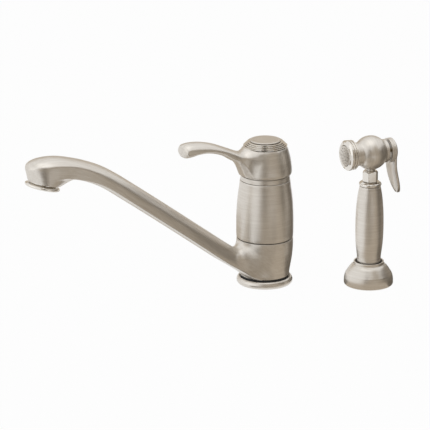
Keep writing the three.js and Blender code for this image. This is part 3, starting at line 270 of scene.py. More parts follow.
# %% [markdown]
# ## Turned pieces
# Most of a faucet comes off a lathe. Its outline is drawn as corners, and each corner is rounded
# with a small arc, because a real edge is never sharp and its thin highlight is what the eye
# reads. The arc's points know their exact normals, so long walls stay clean beside short arcs. An
# outline runs from the bottom outwards, up the outer side, and back inwards over the top. A bevel
# modifier on the solids would be shorter to write, but it would follow their flat facets.

# %% Rounded outlines
ARC_STEP = math.radians(18)
EDGE = 0.35
ALMOST_STRAIGHT = 0.02
LONGEST_CUT = 0.46


def rounded(corners, closed):
    """Corners are (radius, height) or (radius, height, fillet). Returns points and tangents."""
    spots = np.array([c[:2] for c in corners], float)
    points, tangents = [], []
    for i, (here, corner) in enumerate(zip(spots, corners)):
        fillet = (*corner, EDGE)[2]
        before, after = spots[i - 1] - here, spots[(i + 1) % len(spots)] - here
        reach = min(np.linalg.norm(before), np.linalg.norm(after))
        before, after = before / np.linalg.norm(before), after / np.linalg.norm(after)
        inner = math.acos(np.clip(before @ after, -1, 1))
        at_end = not closed and i in (0, len(spots) - 1)
        if at_end or fillet <= 0 or math.pi - inner < ALMOST_STRAIGHT:
            way = (-before if i else after) if at_end else after - before
            points.append(here)
            tangents.append(way / np.linalg.norm(way))
            continue
        cut = min(fillet / math.tan(inner / 2), LONGEST_CUT * reach)
        size = cut * math.tan(inner / 2)
        middle = here + (before + after) / np.linalg.norm(before + after) * size / math.sin(
            inner / 2)
        start, end = here + before * cut - middle, here + after * cut - middle
        steps = max(2, math.ceil((math.pi - inner) / ARC_STEP))
        side = np.sign(start[0] * end[1] - start[1] * end[0])
        for k in range(steps + 1):
            angle = side * (math.pi - inner) * k / steps
            c, s = math.cos(angle), math.sin(angle)
            spoke = np.array([c * start[0] - s * start[1], s * start[0] + c * start[1]])
            points.append(middle + spoke)
            tangents.append(side * np.array([-spoke[1], spoke[0]]) / size)
    return np.array(points), np.array(tangents)


def smooth_run(points, steps=6):
    """A smooth run of outline points through the given ones, with no fillets."""
    knots = np.array(points, float)
    padded = np.vstack([2 * knots[0] - knots[1], knots, 2 * knots[-1] - knots[-2]])
    t = np.arange(steps)[:, None] / steps
    run = []
    for a, b, c, d in zip(padded, padded[1:], padded[2:], padded[3:]):
        run.extend(0.5 * (2 * b + (c - a) * t + (2 * a - 5 * b + 4 * c - d) * t ** 2
                          + (3 * b - a - 3 * c + d) * t ** 3))
    return [(*p, 0) for p in (*run, knots[-1])]


def lifted(base, corners):
    """Outline corners whose heights are counted from base."""
    return [(r, base + z, *fillet) for r, z, *fillet in corners]


print("a box corner becomes", len(rounded([(5, 0), (6, 0), (6, 1), (5, 1)], True)[0]), "points")

# %% Turning an outline
TURN_STEPS = 160
LINES_PER_MM = 1.6
DRIFT_PER_MM = 0.05
ON_AXIS = 1e-6


def bands(rings):
    """Faces between rings of point numbers, with triangles where a ring is a single point."""
    faces = []
    for low, high in zip(rings, rings[1:]):
        for j in range(len(low)):
            k = (j + 1) % len(low)
            corner = [low[j], low[k], high[k], high[j]]
            face = [v for n, v in enumerate(corner) if v != corner[n - 1]]
            if len(face) > 2:
                faces.append(face)
    return faces


def turned_mesh(corners, closed=True, steps=TURN_STEPS):
    """Points, faces, normals and grain of an outline turned about +Z."""
    outline, tangents = rounded(corners, closed)
    length = np.concatenate([[0], np.cumsum(np.linalg.norm(np.diff(outline, axis=0), axis=1))])
    angles = np.arange(steps) * 2 * math.pi / steps
    cos, sin = np.cos(angles), np.sin(angles)
    points, normals, grain, rows = [], [], [], []
    for (radius, height), (along_r, along_z), run in zip(outline, tangents, length):
        count = steps
        if radius < ON_AXIS:
            count, along_r, along_z = 1, np.sign(along_r), 0
        rows.append([len(points) + j % count for j in range(steps)])
        points.extend(zip(radius * cos, radius * sin, [height] * count))
        normals.extend(zip(along_z * cos, along_z * sin, [-along_r] * count))
        grain.extend(zip(radius * cos * DRIFT_PER_MM, radius * sin * DRIFT_PER_MM,
                         [run * LINES_PER_MM] * count))
    faces = bands([*rows, rows[0]] if closed else rows)
    return np.array(points), faces, np.array(normals), np.array(grain)


def turned(name, corners, place, node, closed=True, steps=TURN_STEPS):
    piece = show(name, *turned_mesh(corners, closed, steps), place, node)
    print(name, len(piece.data.polygons), "faces")


def sleeve(name, inner, outer, place, node, rise=0.0):
    """A plain ring between the bottom and the top of its solid."""
    low, high = span(node)
    turned(name, [(inner, low), (outer, low), (outer, high + rise), (inner, high + rise)],
           place, node)


# %% [markdown]
# ## The faucet's stack of turned pieces
# From the deck up: the base ring, the black glide ring in the joint of the swivel, the tall
# barrel shaped body shell with the second glide ring under it, and the plain band that carries
# the handle. The gaps between them are real gaps, and the photograph shows them as thin dark
# lines.

# %% Base ring, glide rings and shell
HUB_BORE, SWIVEL_BORE = 20.3, 20.5
BASE_TOP = span("base_ring")[1]
turned("base_ring_turned", [
    (HUB_BORE, 0), (26.2, 0, 0.5), (27.3, 1.6, 1.5), (27.35, 3.6, 2.0), (26.4, 5.9, 1.6),
    (25.1, BASE_TOP - 0.1, 0.8), (24.3, BASE_TOP - 0.6, 0.3), (23.9, BASE_TOP - 1.5, 0.1),
    (HUB_BORE, BASE_TOP - 1.5),
], UPRIGHT, "base_ring")
sleeve("lower_glide", SWIVEL_BORE, 23.6, UPRIGHT, "lower_glide_ring", rise=0.6)
sleeve("upper_glide", SWIVEL_BORE, 25.2, UPRIGHT, "upper_glide_ring")
SHELL_BOTTOM, SHELL_TOP = span("body_shell")
shell_wall = smooth_run(lifted(SHELL_BOTTOM, [
    (27.6, 0.9), (27.8, 4), (27.84, 9), (27.8, 17), (27.55, 26.5), (27.0, 36.5), (25.8, 46.6),
    (25.05, 51.8), (24.5, 57.3)]))
turned("body_shell_turned", [
    (HUB_BORE, SHELL_BOTTOM), (27.1, SHELL_BOTTOM, 0.3), *shell_wall, (24.2, SHELL_TOP, 0.1),
    (22.3, SHELL_TOP), (22.3, SHELL_TOP - 3), (25.2, SHELL_BOTTOM + 20, 5),
    (25.2, SHELL_BOTTOM + 4), (HUB_BORE, SHELL_BOTTOM + 4)], UPRIGHT, "body_shell")

# %% [markdown]
# The band has a shallow groove under it, a bead of light on its upper edge, and above it a short
# neck and the dome on which the handle rocks. The dome is a true part of a ball about the
# handle's pivot, so the gap to the cap stays even when the handle lifts.

# %% Band with its dome
BAND_BORE, BAND_FOOT, BAND_WALL = 20.4, 92.0, 21.7
BAND_TOP, BAND_NECK, DOME_TOP = 109.5, 22.6, span("bonnet_ring")[1]
PIVOT_HEIGHT, DOME_RADIUS, DOME_RIM = 94.0, 29.3, 21.0
dome = [(DOME_RADIUS * math.sin(a), PIVOT_HEIGHT + DOME_RADIUS * math.cos(a), 0)
        for a in np.linspace(*(math.asin(r / DOME_RADIUS) for r in (BAND_NECK, DOME_RIM)), 6)]
turned("band_turned", [
    (BAND_BORE, BAND_FOOT), (BAND_WALL, BAND_FOOT), (BAND_WALL, SHELL_TOP + 0.3, 0.1),
    (24.2, SHELL_TOP + 0.3, 0.4), (24.0, 107.0, 0), (23.7, BAND_TOP, 0.5),
    (BAND_NECK, BAND_TOP, 0.2), *dome, (BAND_BORE, DOME_TOP - 0.9)], UPRIGHT, "bonnet_ring")

# %% [markdown]
# The four ridges round the button step inwards like a small stair. They are bright on their
# edges and dark between. A bump would show the lines but not their stepped outline at the sides,
# so the steps are cut in the outline itself, with real undercuts.

# %% Ridged ring and button
RIDGE_BOTTOM, RIDGE_TOP = span("ridged_trim_ring")
RIDGES, RIDGE_OUT, RIDGE_IN, RING_BORE = 4, 21.4, 16.2, 12.0
UNDERCUT = 1.3
pitch = (RIDGE_TOP - RIDGE_BOTTOM) / RIDGES
inset = (RIDGE_OUT - RIDGE_IN) / RIDGES
stair = [(RING_BORE, RIDGE_BOTTOM)]
for i in range(RIDGES):
    edge, height = RIDGE_OUT - i * inset, RIDGE_BOTTOM + i * pitch
    stair += [(edge - back, height + share * pitch, fillet) for back, share, fillet in (
        (UNDERCUT, 0, 0.05), (UNDERCUT, 0.42, 0.05), (0.1, 0.46, 0.2), (0.1, 0.9, 0.2),
        (0.9, 1, 0.05))]
stair += [(RIDGE_IN - 1.0, RIDGE_TOP, 0.2), (RING_BORE, RIDGE_TOP)]
turned("ridged_ring_turned", stair, UPRIGHT, "ridged_trim_ring")
BUTTON_TOP = span("index_button")[1]
turned("button_turned", [
    *lifted(RIDGE_TOP, [(0, -2), (11.7, -2), (11.7, 0.3, 0.1), (15.0, 0.3, 0.3)]),
    *lifted(BUTTON_TOP, [(15.0, -0.45, 0.4), (14.0, -0.2, 0.6)]),
    *smooth_run(lifted(BUTTON_TOP, [(12.6, -0.22), (8, -0.08), (0.0, 0)]), 4)],
    UPRIGHT, "index_button", closed=False)

# %% [markdown]
# ## Cast forms: the spout and the handle
# The collar, the arm and the outlet of the spout are one casting, and so are the cap and the
# lever. Their parts flow into each other with soft fillets while the long creases stay crisp. A
# boolean would leave hard seams, and a remesh would melt the creases. So each form is written as
# a field, a function that says how far a point is outside the metal, and fields are joined with a
# soft minimum whose width is the fillet. A mesh is then laid on the surface where the field is
# zero, and the slope of the field gives its exact normals.

# %% Soft joins and smooth tables


def soft_min(a, b, width):
    bridge = np.maximum(width - np.abs(a - b), 0) / width
    return np.minimum(a, b) - bridge ** 2 * width / 4


def soft_max(a, b, width):
    return -soft_min(-a, -b, width)


def smooth_table(rows, steps=12):
    """Rows of (at, value, ...) become dense smooth columns, to be read with np.interp."""
    knots = np.array(rows, float)
    slopes = np.gradient(knots, knots[:, 0], axis=0)
    t = np.arange(steps)[:, None] / steps
    dense = []
    for start, end, slope, next_slope in zip(knots, knots[1:], slopes, slopes[1:]):
        run = end[0] - start[0]
        dense.extend((1 + 2 * t) * (1 - t) ** 2 * start + t * (1 - t) ** 2 * run * slope
                     + t * t * (3 - 2 * t) * end + t * t * (t - 1) * run * next_slope)
    dense = np.array([*dense, knots[-1]])
    return dense[:, 0], dense[:, 1:].T


print("half way between 0 and 1:", round(float(soft_min(np.array(0.0), np.array(1.0), 2.0)), 3))

# %% A mesh laid on a field


def field_slope(field, points, step=0.02):
    slope = np.empty_like(points)
    for axis, shift in enumerate(np.eye(3) * step):
        slope[:, axis] = (field(points + shift) - field(points - shift)) / (2 * step)
    return slope


def skin(field, low, high, cell, rounds=6):
    """Points and quads on the zero surface of a field: one point in each cell that it crosses."""
    sides = [np.arange(a, b + cell, cell) for a, b in zip(low, high)]
    shape = tuple(len(side) for side in sides)
    values = np.empty(shape, np.float32)
    yz = np.stack(np.meshgrid(sides[1], sides[2], indexing="ij"), -1).reshape(-1, 2)
    for i, x in enumerate(sides[0]):
        values[i] = field(np.column_stack([np.full(len(yz), x), yz])).reshape(shape[1:])
    inside = values < 0
    corners_in = np.zeros(tuple(n - 1 for n in shape), np.int8)
    for corner in np.ndindex(2, 2, 2):
        corners_in += inside[tuple(slice(c, n - 1 + c) for c, n in zip(corner, shape))]
    crossed = (corners_in > 0) & (corners_in < 8)
    number = np.full(crossed.shape, -1, np.int32)
    number[crossed] = np.arange(crossed.sum())
    # Each point starts in the middle of its cell and walks down the slope to the surface.
    points = np.array(low) + (np.argwhere(crossed) + 0.5) * cell
    for _ in range(rounds):
        slope = field_slope(field, points)
        size = np.maximum((slope ** 2).sum(1), 1e-3)
        move = slope * (field(points) / size)[:, None]
        reach = np.maximum(np.linalg.norm(move, axis=1) / (0.6 * cell), 1)
        points = points - move / reach[:, None]
    # Each grid edge with one end inside gives a quad between the four cells round it.
    faces = []
    for axis in range(3):
        across = [n for n in range(3) if n != axis]
        edges = np.argwhere(np.diff(inside, axis=axis))
        held = edges[:, across]
        edges = edges[((held > 0) & (held < np.array(crossed.shape)[across])).all(1)]
        ring = []
        for step in ((-1, -1), (0, -1), (0, 0), (-1, 0)):
            at = edges.copy()
            at[:, across] += step
            ring.append(number[tuple(at.T)])
        quads = np.stack(ring, 1)
        flip = inside[tuple(edges.T)] == (axis == 1)
        quads[flip] = quads[flip][:, ::-1]
        faces.append(quads)
    return points, np.vstack(faces)


ball_points, ball_faces = skin(lambda p: np.linalg.norm(p, axis=1) - 5, (-6,) * 3, (6,) * 3, 1.0)
print("a test ball has", len(ball_faces), "faces, radius",
      round(float(np.linalg.norm(ball_points, axis=1).mean()), 3))

# %% [markdown]
# ### The spout
# Seen across, the arm is a low arch on a band that leans outwards, with a bevel under it. Its
# middle line rises straight from the collar and bends level at the outlet. Each point near the
# arm is first laid into the arm's own terms: how far along the middle line it is and how high
# above it. A table of these terms is worked out once, because the nearest point of a curve is
# slow to find.

# %% The arm's own terms
ARM_TOP, EDGE_HEIGHT, ARM_BOTTOM = 10.2, 2.15, -7.8
ARM_MIDDLE = [
    (12, 11.5), (30, 25.0), (46, 36.0), (72, 55.3), (108, 82.2), (134, 101.4), (152, 114.5),
    (168, 126.0), (184, 135.9), (200, 142.9), (214, 147.4), (226, 150.2), (240, 151.4)]
middle_run = np.array([p[:2] for p in smooth_run(ARM_MIDDLE, 30)])
run_length = np.concatenate([[0], np.cumsum(np.linalg.norm(np.diff(middle_run, axis=0), axis=1))])
run_way = np.gradient(middle_run, run_length, axis=0)
run_way /= np.linalg.norm(run_way, axis=1)[:, None]
ARM_LENGTH = run_length[-1]
TABLE_X, TABLE_Z = np.arange(-64.0, 276.0), np.arange(-20.0, 186.0)


def arm_table(batch=8000):
    grid = np.stack(np.meshgrid(TABLE_X, TABLE_Z, indexing="ij"), -1).reshape(-1, 2)
    out = np.empty((len(grid), 2))
    for start in range(0, len(grid), batch):
        gap = grid[start:start + batch, None, :] - middle_run
        near = (gap ** 2).sum(2).argmin(1)
        way, off = run_way[near], gap[np.arange(len(gap)), near]
        out[start:start + batch, 0] = run_length[near] + (off * way).sum(1)
        out[start:start + batch, 1] = way[:, 0] * off[:, 1] - way[:, 1] * off[:, 0]
    return out.reshape(len(TABLE_X), len(TABLE_Z), 2)


ARM_TERMS = arm_table()


def arm_terms(x, z):
    """Length along the arm and height above its middle line."""
    fx = np.clip(x - TABLE_X[0], 0, len(TABLE_X) - 1.001)
    fz = np.clip(z - TABLE_Z[0], 0, len(TABLE_Z) - 1.001)
    i, k = fx.astype(int), fz.astype(int)
    u, w = (fx - i)[:, None], (fz - k)[:, None]
    return sum(a * b * ARM_TERMS[i + di, k + dk] for dk, b in ((0, 1 - w), (1, w))
               for di, a in ((0, 1 - u), (1, u))).T


print("arm", round(float(ARM_LENGTH), 1), "mm long")

# %% [markdown]
# The section is a low arch, a side band that leans outwards below it, and a bevel that turns
# under. Each is a simple field and the metal is where all of them are inside, so the creases are
# where two fields meet. The outlet is a drum on the tilted mouth, with the arm's arch for its
# roof, and its back slopes out into the arm.

# %% The arm as a field
ARM_WIDTH_ROWS = [
    (0, 19, 20, 20.5, -6), (5, 18, 18.8, 18.6, -6), (10, 16, 16.6, 17.2, -6),
    (15, 14, 14.4, 16.0, -6), (20, 12.6, 12.9, 15.2, -6), (30, 11.4, 11.6, 14.7, -6),
    (52, 11.0, 11.1, 14.3, -6), (82, 11.6, 11.6, 13.6, -6), (164, 12.5, 12.4, 13.8, -6),
    (214, 14.0, 13.4, 14.2, -6), (240, 16.4, 14.0, 14.4, -7.2),
    (ARM_LENGTH, 17.5, 14.0, 14.4, -7.4)]
width_at, widths = smooth_table(ARM_WIDTH_ROWS)
NOSE_FROM, NOSE_LENGTH, NOSE_POWER = ARM_LENGTH - 14.0, 30.5, 3.0
CREASE, BEVEL_CREASE, BELLY_CREASE = 0.8, 1.3, 1.5
BEVEL_SHARE, ARM_STOP, STOP_FILLET = 0.3, 8.0, 4.0
CREST_SPREAD, SHARE_TO_MM = 1.22, 0.75
crest_share = math.sqrt(1 - 1 / CREST_SPREAD ** 2)
crest_rise = (ARM_TOP - EDGE_HEIGHT) / (1 - crest_share)
crest_centre = EDGE_HEIGHT - crest_rise * crest_share


def rounded_end(across, ahead, power):
    """How far out of an outline that is round at its end: 1 on the outline."""
    return (across ** power + np.maximum(ahead, 0) ** power) ** (1 / power)


def arch_field(p):
    length, height = arm_terms(p[:, 0], p[:, 2])
    spread = CREST_SPREAD * np.interp(length, width_at, widths[0])
    across = np.hypot(p[:, 1] / spread, np.maximum(height - crest_centre, 0) / crest_rise)
    out = rounded_end(across, (length - NOSE_FROM) / NOSE_LENGTH, NOSE_POWER) - 1
    return out * SHARE_TO_MM * spread


def under_bevel(side, half, share, drop, depth):
    """A bevel that takes a share of the half width over its depth."""
    turn = share * half / depth
    return (side - half + turn * drop) / np.sqrt(1 + turn ** 2)


def arm_sides(p):
    length, height = arm_terms(p[:, 0], p[:, 2])
    upper, lower, low_edge = (np.interp(length, width_at, w) for w in widths[1:])
    side = np.abs(p[:, 1])
    lean = (lower - upper) / (EDGE_HEIGHT - low_edge)
    band = side - upper - lean * (EDGE_HEIGHT - height)
    bevel = under_bevel(side, lower, BEVEL_SHARE, low_edge - height, low_edge - ARM_BOTTOM)
    sides = soft_max(soft_max(band, bevel, BEVEL_CREASE), ARM_BOTTOM - height, BELLY_CREASE)
    return soft_max(soft_max(sides, length - ARM_LENGTH + ARM_STOP, STOP_FILLET), -length, 1.0)


print("the arch is part of an ellipse", round(crest_rise, 1), "mm high")

# %% The outlet's drum as a field
DRUM_RADIUS, DRUM_FRONT, DRUM_BOTTOM = 16.0, 14.3, -3.0
REAR_SLOPE, FRONT_FLARE, FLARE_RISE = 1.6, 0.56, 13.0
SIDE_TAPER, TAPER_RISE = 0.03, 20.0
TILT_COS, TILT_SIN = (f(math.radians(OUTLET_TILT)) for f in (math.cos, math.sin))


def drum_sides(p):
    x, z = p[:, 0] - OUTLET_REACH, p[:, 2] - OUTLET_MOUTH
    forward, rise = x * TILT_COS + z * TILT_SIN, z * TILT_COS - x * TILT_SIN
    flare = np.clip(rise, 0, FLARE_RISE)
    reach = np.where(forward < 0, DRUM_RADIUS + REAR_SLOPE * flare,
                     DRUM_FRONT + FRONT_FLARE * flare)
    half = DRUM_RADIUS - SIDE_TAPER * np.clip(rise, 0, TAPER_RISE)
    plan = np.hypot(forward / reach, p[:, 1] / half) - 1
    return soft_max(plan * DRUM_RADIUS * 0.9, DRUM_BOTTOM - rise, 0.5)


# %% [markdown]
# The collar is a barrel, and the arm grows out of it in a fillet that is wide in the middle and
# narrow at both edges, where a wide one would bulge over the gaps. A clearance, wider with
# height, keeps the root of the arm from rising into the body shell.

# %% The collar and the whole spout as fields
COLLAR_BOTTOM, COLLAR_TOP = 8.6, 46.1
COLLAR_ROWS = [(0, 23.9), (0.3, 24.0), (2.4, 24.15), (4.9, 24.45), (9.0, 25.1), (13.2, 25.85),
               (18.3, 26.65), (23.5, 27.2), (28.6, 27.55), (33.8, 27.7), (37.5, 27.6)]
ROOT_FILLET = np.array([(8, 1.5), (12, 3.0), (20, 14.0), (32, 16.0), (40, 11.0), (46, 6.0)]).T
ROOT_SPREAD = np.array([(0, 0), (8.6, 24.4), (13, 29.5), (18, 60), (200, 400)]).T
CLEAR_SLOPE, DRUM_FILLET, SHY = 0.6, 3.0, 0.015


def barrel_field(p, rows, low, high, fillet):
    """A turned wall of (height, radius) rows between two heights."""
    at, (radius,) = rows
    wall = np.hypot(p[:, 0], p[:, 1]) - np.interp(p[:, 2] - low[0], at, radius)
    return soft_max(soft_max(wall, low[1] - p[:, 2], fillet), p[:, 2] - high, fillet)


collar_wall = smooth_table(COLLAR_ROWS)


def spout_field(p):
    solid = soft_max(arch_field(p), soft_min(arm_sides(p), drum_sides(p), DRUM_FILLET), CREASE)
    clear = np.hypot(p[:, 0], p[:, 1]) - np.interp(p[:, 2], *ROOT_SPREAD)
    solid = soft_max(solid, clear * CLEAR_SLOPE, 1.0)
    collar = barrel_field(p, collar_wall, (COLLAR_BOTTOM, COLLAR_BOTTOM + 1), COLLAR_TOP - 1, 0.5)
    return soft_min(solid, collar, np.interp(p[:, 2], *ROOT_FILLET)) + SHY


spout_points, spout_faces = skin(spout_field, (-30, -31, 1), (262, 31, 164), 0.9)
print("spout", len(spout_points), "points", len(spout_faces), "faces")

# %% [markdown]
# The skin is cut with exact solids where the real casting is machined: flat under the collar, the
# swivel's bore, and the mouth with its bore. Cut faces keep flat normals and the rest takes the
# field's slope.

# %% Cutting the castings
CUT_FACE_DOT = 0.8


def turned_cutter(corners, place, steps=96):
    points, faces, _, _ = turned_mesh([(*c, 0) for c in corners], False, steps)
    return new_object("cutter", placed(points, place), faces)


def drill(radius, low, high, place, steps=96):
    return turned_cutter([(0, low), (radius, low), (radius, high), (0, high)], place, steps)


def column(values, key, kind=float, width=1):
    """One value of every vertex, corner or face, as an array."""
    out = np.empty(len(values) * width, kind)
    values.foreach_get(key, out)
    return out.reshape(-1, width) if width > 1 else out


def cast_piece(name, points, faces, field, grain_of, cutters, place, node):
    """Cuts the skin, then gives it the field's normals and the grain."""
    blank = new_object("blank", placed(points, place), faces)
    for tool in cutters:
        change = blank.modifiers.new("cut", "BOOLEAN")
        change.operation, change.object, change.solver = "DIFFERENCE", tool, "EXACT"
    shaped = blank.evaluated_get(bpy.context.evaluated_depsgraph_get())
    cut = bpy.data.meshes.new_from_object(shaped)
    for scrap in (blank, *cutters):
        bpy.data.objects.remove(scrap)
    turn = np.array(place.to_3x3())
    local = (column(cut.vertices, "co", width=3) / MM - np.array(place.translation)) @ turn
    slope = field_slope(field, local)
    slope /= np.maximum(np.linalg.norm(slope, axis=1), 1e-6)[:, None]
    mesh = show(name, local, [tuple(f.vertices) for f in cut.polygons], None, grain_of(local),
                place, node).data
    wanted = (slope @ turn.T)[column(mesh.loops, "vertex_index", int)]
    flat = np.repeat(column(mesh.polygons, "normal", width=3),
                     column(mesh.polygons, "loop_total", int), axis=0)
    cut_face = (wanted * flat).sum(1) < CUT_FACE_DOT
    wanted[cut_face] = flat[cut_face]
    mesh.normals_split_custom_set(wanted.tolist())
    print(name, len(mesh.polygons), "faces,", int(cut_face.sum()), "corners on cut faces")


# %% The spout casting


def spout_grain(p):
    length, height = arm_terms(p[:, 0], p[:, 2])
    return np.column_stack([length * DRIFT_PER_MM, p[:, 1] * LINES_PER_MM, height * LINES_PER_MM])


MOUTH_RISE, MOUTH_BORE = 0.6, 12.8
spout_cutters = [
    drill(90, -40, COLLAR_BOTTOM, TOWARDS_SINK), drill(SWIVEL_BORE, 0, 60, TOWARDS_SINK),
    turned_cutter([(0, -40), (30, -40), (30, MOUTH_RISE), (MOUTH_BORE, MOUTH_RISE),
                   (MOUTH_BORE, 10), (0, 10)], OUTLET)]
cast_piece("spout_casting", spout_points, spout_faces, spout_field, spout_grain, spout_cutters,
           TOWARDS_SINK, "spout")
turned("spout_collar", [
    (SWIVEL_BORE, COLLAR_BOTTOM), (23.4, COLLAR_BOTTOM, 0.2),
    *smooth_run([(r, COLLAR_BOTTOM + z) for z, r in COLLAR_ROWS[1:]][:-1]),
    (27.55, COLLAR_TOP, 0.5), (25.5, COLLAR_TOP, 0.1), (25.5, COLLAR_TOP - 1.5, 0.1),
    (SWIVEL_BORE, COLLAR_TOP - 1.5)], UPRIGHT, "spout")

# %% [markdown]
# The outlet ends in a polished ring, screwed in so that a thin dark gap stays above it. Inside it
# sit a screen and a flow insert, which are seen only from below and keep their solids. The ring
# is turned like the others, but in the tilted frame of the outlet.

# %% Aerator ring
turned("aerator_ring", [
    (9.3, -4.6), (15.6, -4.6, 0.8), (16.65, -3.6, 0.9), (16.65, -2.3, 0.7), (15.6, -1.5, 0.4),
    (13.4, -1.2, 0.1), (12.5, -0.5, 0.1), (12.5, 7.5), (10.5, 7.5), (10.5, -2.6), (9.3, -2.6)],
    OUTLET, "aerator_housing")

# %% [markdown]
# ### The handle
# The cap is a low barrel that meets the lever in a soft valley. The lever is an arch on a thin
# side band too, higher at its tip, and it ends in a flat face with a soft edge, raked under a
# little. Each row of its table is one section: the crest, the upper and the lower edge of the
# band as half width and height, and the belly.

# %% The lever's sections
CAP_BOTTOM, CAP_TOP = 110.9, 137.6
LEVER_ROWS = [
    (6, 133.0, 10.0, 128.0, 12.0, 114.0, 111.2), (20, 134.0, 10.8, 129.3, 13.0, 111.7, 109.1),
    (24, 135.0, 10.6, 130.1, 12.0, 117.0, 110.8), (27, 135.8, 10.4, 131.0, 11.2, 123.0, 115.0),
    (30, 136.8, 10.1, 132.3, 10.8, 127.0, 121.0), (34, 138.2, 9.9, 134.2, 10.5, 130.0, 126.5),
    (40, 140.8, 9.7, 137.2, 10.3, 133.0, 130.0), (48, 144.3, 9.6, 140.9, 9.9, 138.4, 135.2),
    (58, 148.4, 9.7, 144.2, 9.9, 142.2, 139.1), (68, 151.3, 9.9, 146.2, 10.1, 144.4, 141.0),
    (77, 152.8, 10.1, 147.2, 10.3, 144.2, 140.8), (85, 153.2, 10.2, 147.8, 10.3, 143.4, 139.6),
    (91, 153.1, 10.2, 147.9, 10.2, 143.2, 139.4), (97, 152.6, 10.0, 147.8, 10.0, 143.2, 139.8)]
lever_at, lever_rows = smooth_table(LEVER_ROWS)
NOSE_START, LEVER_TIP, NOSE_OVER, LEVER_NOSE_POWER = 77.0, 93.0, 3.0, 4.0
FACE_BOW, FACE_RAKE, RAKE_BELOW, FACE_EDGE = 0.012, 0.25, 144.0, 2.6
LEVER_BEVEL_SHARE = 0.45


def lever_field(p):
    x, side, z = p[:, 0], np.abs(p[:, 1]), p[:, 2]
    crest, upper, upper_z, lower, lower_z, belly = (np.interp(x, lever_at, r) for r in lever_rows)
    edge_ahead, edge_behind = (np.interp(x + step, lever_at, lever_rows[2]) for step in (1, -1))
    tilt = 1 / np.sqrt(1 + ((edge_ahead - edge_behind) / 2) ** 2)
    arch_rise = (crest - upper_z) / (1 - crest_share)
    arch_centre = upper_z - arch_rise * crest_share
    spread = CREST_SPREAD * upper
    across = np.hypot(side / spread, np.maximum(z - arch_centre, 0) / arch_rise)
    ahead = (x - NOSE_START) / (LEVER_TIP + NOSE_OVER - NOSE_START)
    arch = (rounded_end(across, ahead, LEVER_NOSE_POWER) - 1) * SHARE_TO_MM * spread * tilt
    share = (upper_z - z) / np.maximum(upper_z - lower_z, 1.0)
    band = side - (upper + (lower - upper) * np.clip(share, -0.5, 1.2))
    bevel = under_bevel(side, lower, LEVER_BEVEL_SHARE, lower_z - z,
                        np.maximum(lower_z - belly, 1.0))
    metal = soft_max(arch, soft_max(band, bevel, CREASE), CREASE)
    face = x - LEVER_TIP + FACE_BOW * side ** 2 + FACE_RAKE * np.maximum(RAKE_BELOW - z, 0)
    metal = soft_max(metal, face, FACE_EDGE)
    return soft_max(soft_max(metal, (belly - z) * tilt, BELLY_CREASE), 2.0 - x, 1.0)


print("lever", LEVER_TIP, "mm long from the axis")

# %% The handle casting
CAP_ROWS = [(0, 25.35), (1.2, 25.75), (2.7, 25.9), (5.0, 25.82), (7.8, 25.6), (12.8, 24.9),
            (17.8, 23.9), (22.9, 22.5), (25.2, 21.7), (26.7, 21.0)]
cap_wall = smooth_table(CAP_ROWS)
CAP_FILLET = (112, 124, 130), (4.0, 7.0, 11.0)
CAVITY_RADIUS = 29.8


def handle_field(p):
    cap = barrel_field(p, cap_wall, (CAP_BOTTOM, CAP_BOTTOM + 0.8), CAP_TOP - 0.6, 0.4)
    return soft_min(lever_field(p), cap, np.interp(p[:, 2], *CAP_FILLET)) + SHY


def handle_grain(p):
    height = p[:, 2] - np.interp(p[:, 0], lever_at, lever_rows[2])
    return np.column_stack([p[:, 0] * DRIFT_PER_MM, p[:, 1] * LINES_PER_MM,
                            height * LINES_PER_MM])


handle_points, handle_faces = skin(handle_field, (-28, -28, 107), (99, 28, 156), 0.75)
cavity = [(CAVITY_RADIUS * math.sin(a), PIVOT_HEIGHT - CAVITY_RADIUS * math.cos(a))
          for a in np.linspace(0, math.pi, 60)]
cavity[0], cavity[-1] = (0, cavity[0][1]), (0, cavity[-1][1])
handle_cutters = [drill(90, 60, CAP_BOTTOM, TOWARDS_SINK), turned_cutter(cavity, TOWARDS_SINK)]
cast_piece("handle_casting", handle_points, handle_faces, handle_field, handle_grain,
           handle_cutters, TOWARDS_SINK, "handle_lever")
turned("handle_cap", [
    (24.75, CAP_BOTTOM, 0.1), (25.4, CAP_BOTTOM, 0.3),
    *smooth_run([(r, CAP_BOTTOM + z) for z, r in CAP_ROWS[1:-1]]), (20.9, CAP_TOP, 0.5),
    (18.0, CAP_TOP), (18.0, CAP_TOP - 2), (20.6, CAP_TOP - 3, 1), (23.4, CAP_BOTTOM + 9, 1)],
    UPRIGHT, "handle_lever")

# %% [markdown]
# ## The side spray
# The handset stands in a bell shaped holder. Its grip swells in the middle, a bead and a six
# sided nut join it to the round head, and the head lies along its own line, with the ridged face
# ring in front and the trigger's cap behind. All but the nut and the trigger are turned pieces.

# %% Holder and liner
turned("holder_turned", [
    (13.4, 0), (23.3, 0, 0.5), (24.0, 1.4, 1.0),
    *smooth_run([(24.0, 3.4), (23.85, 6.4), (23.2, 9.6)]), (22.7, 11.0, 0.8),
    *smooth_run([(21.9, 12.2), (20.1, 15.1), (17.5, 18.7), (15.6, 20.2)]),
    (14.75, 20.7, 0.3), (14.75, 23.3, 0.35), (13.4, 23.3, 0.35)], SPRAY, "spray_holder")
sleeve("liner_turned", 12.1, 13.1, SPRAY, "holder_liner")

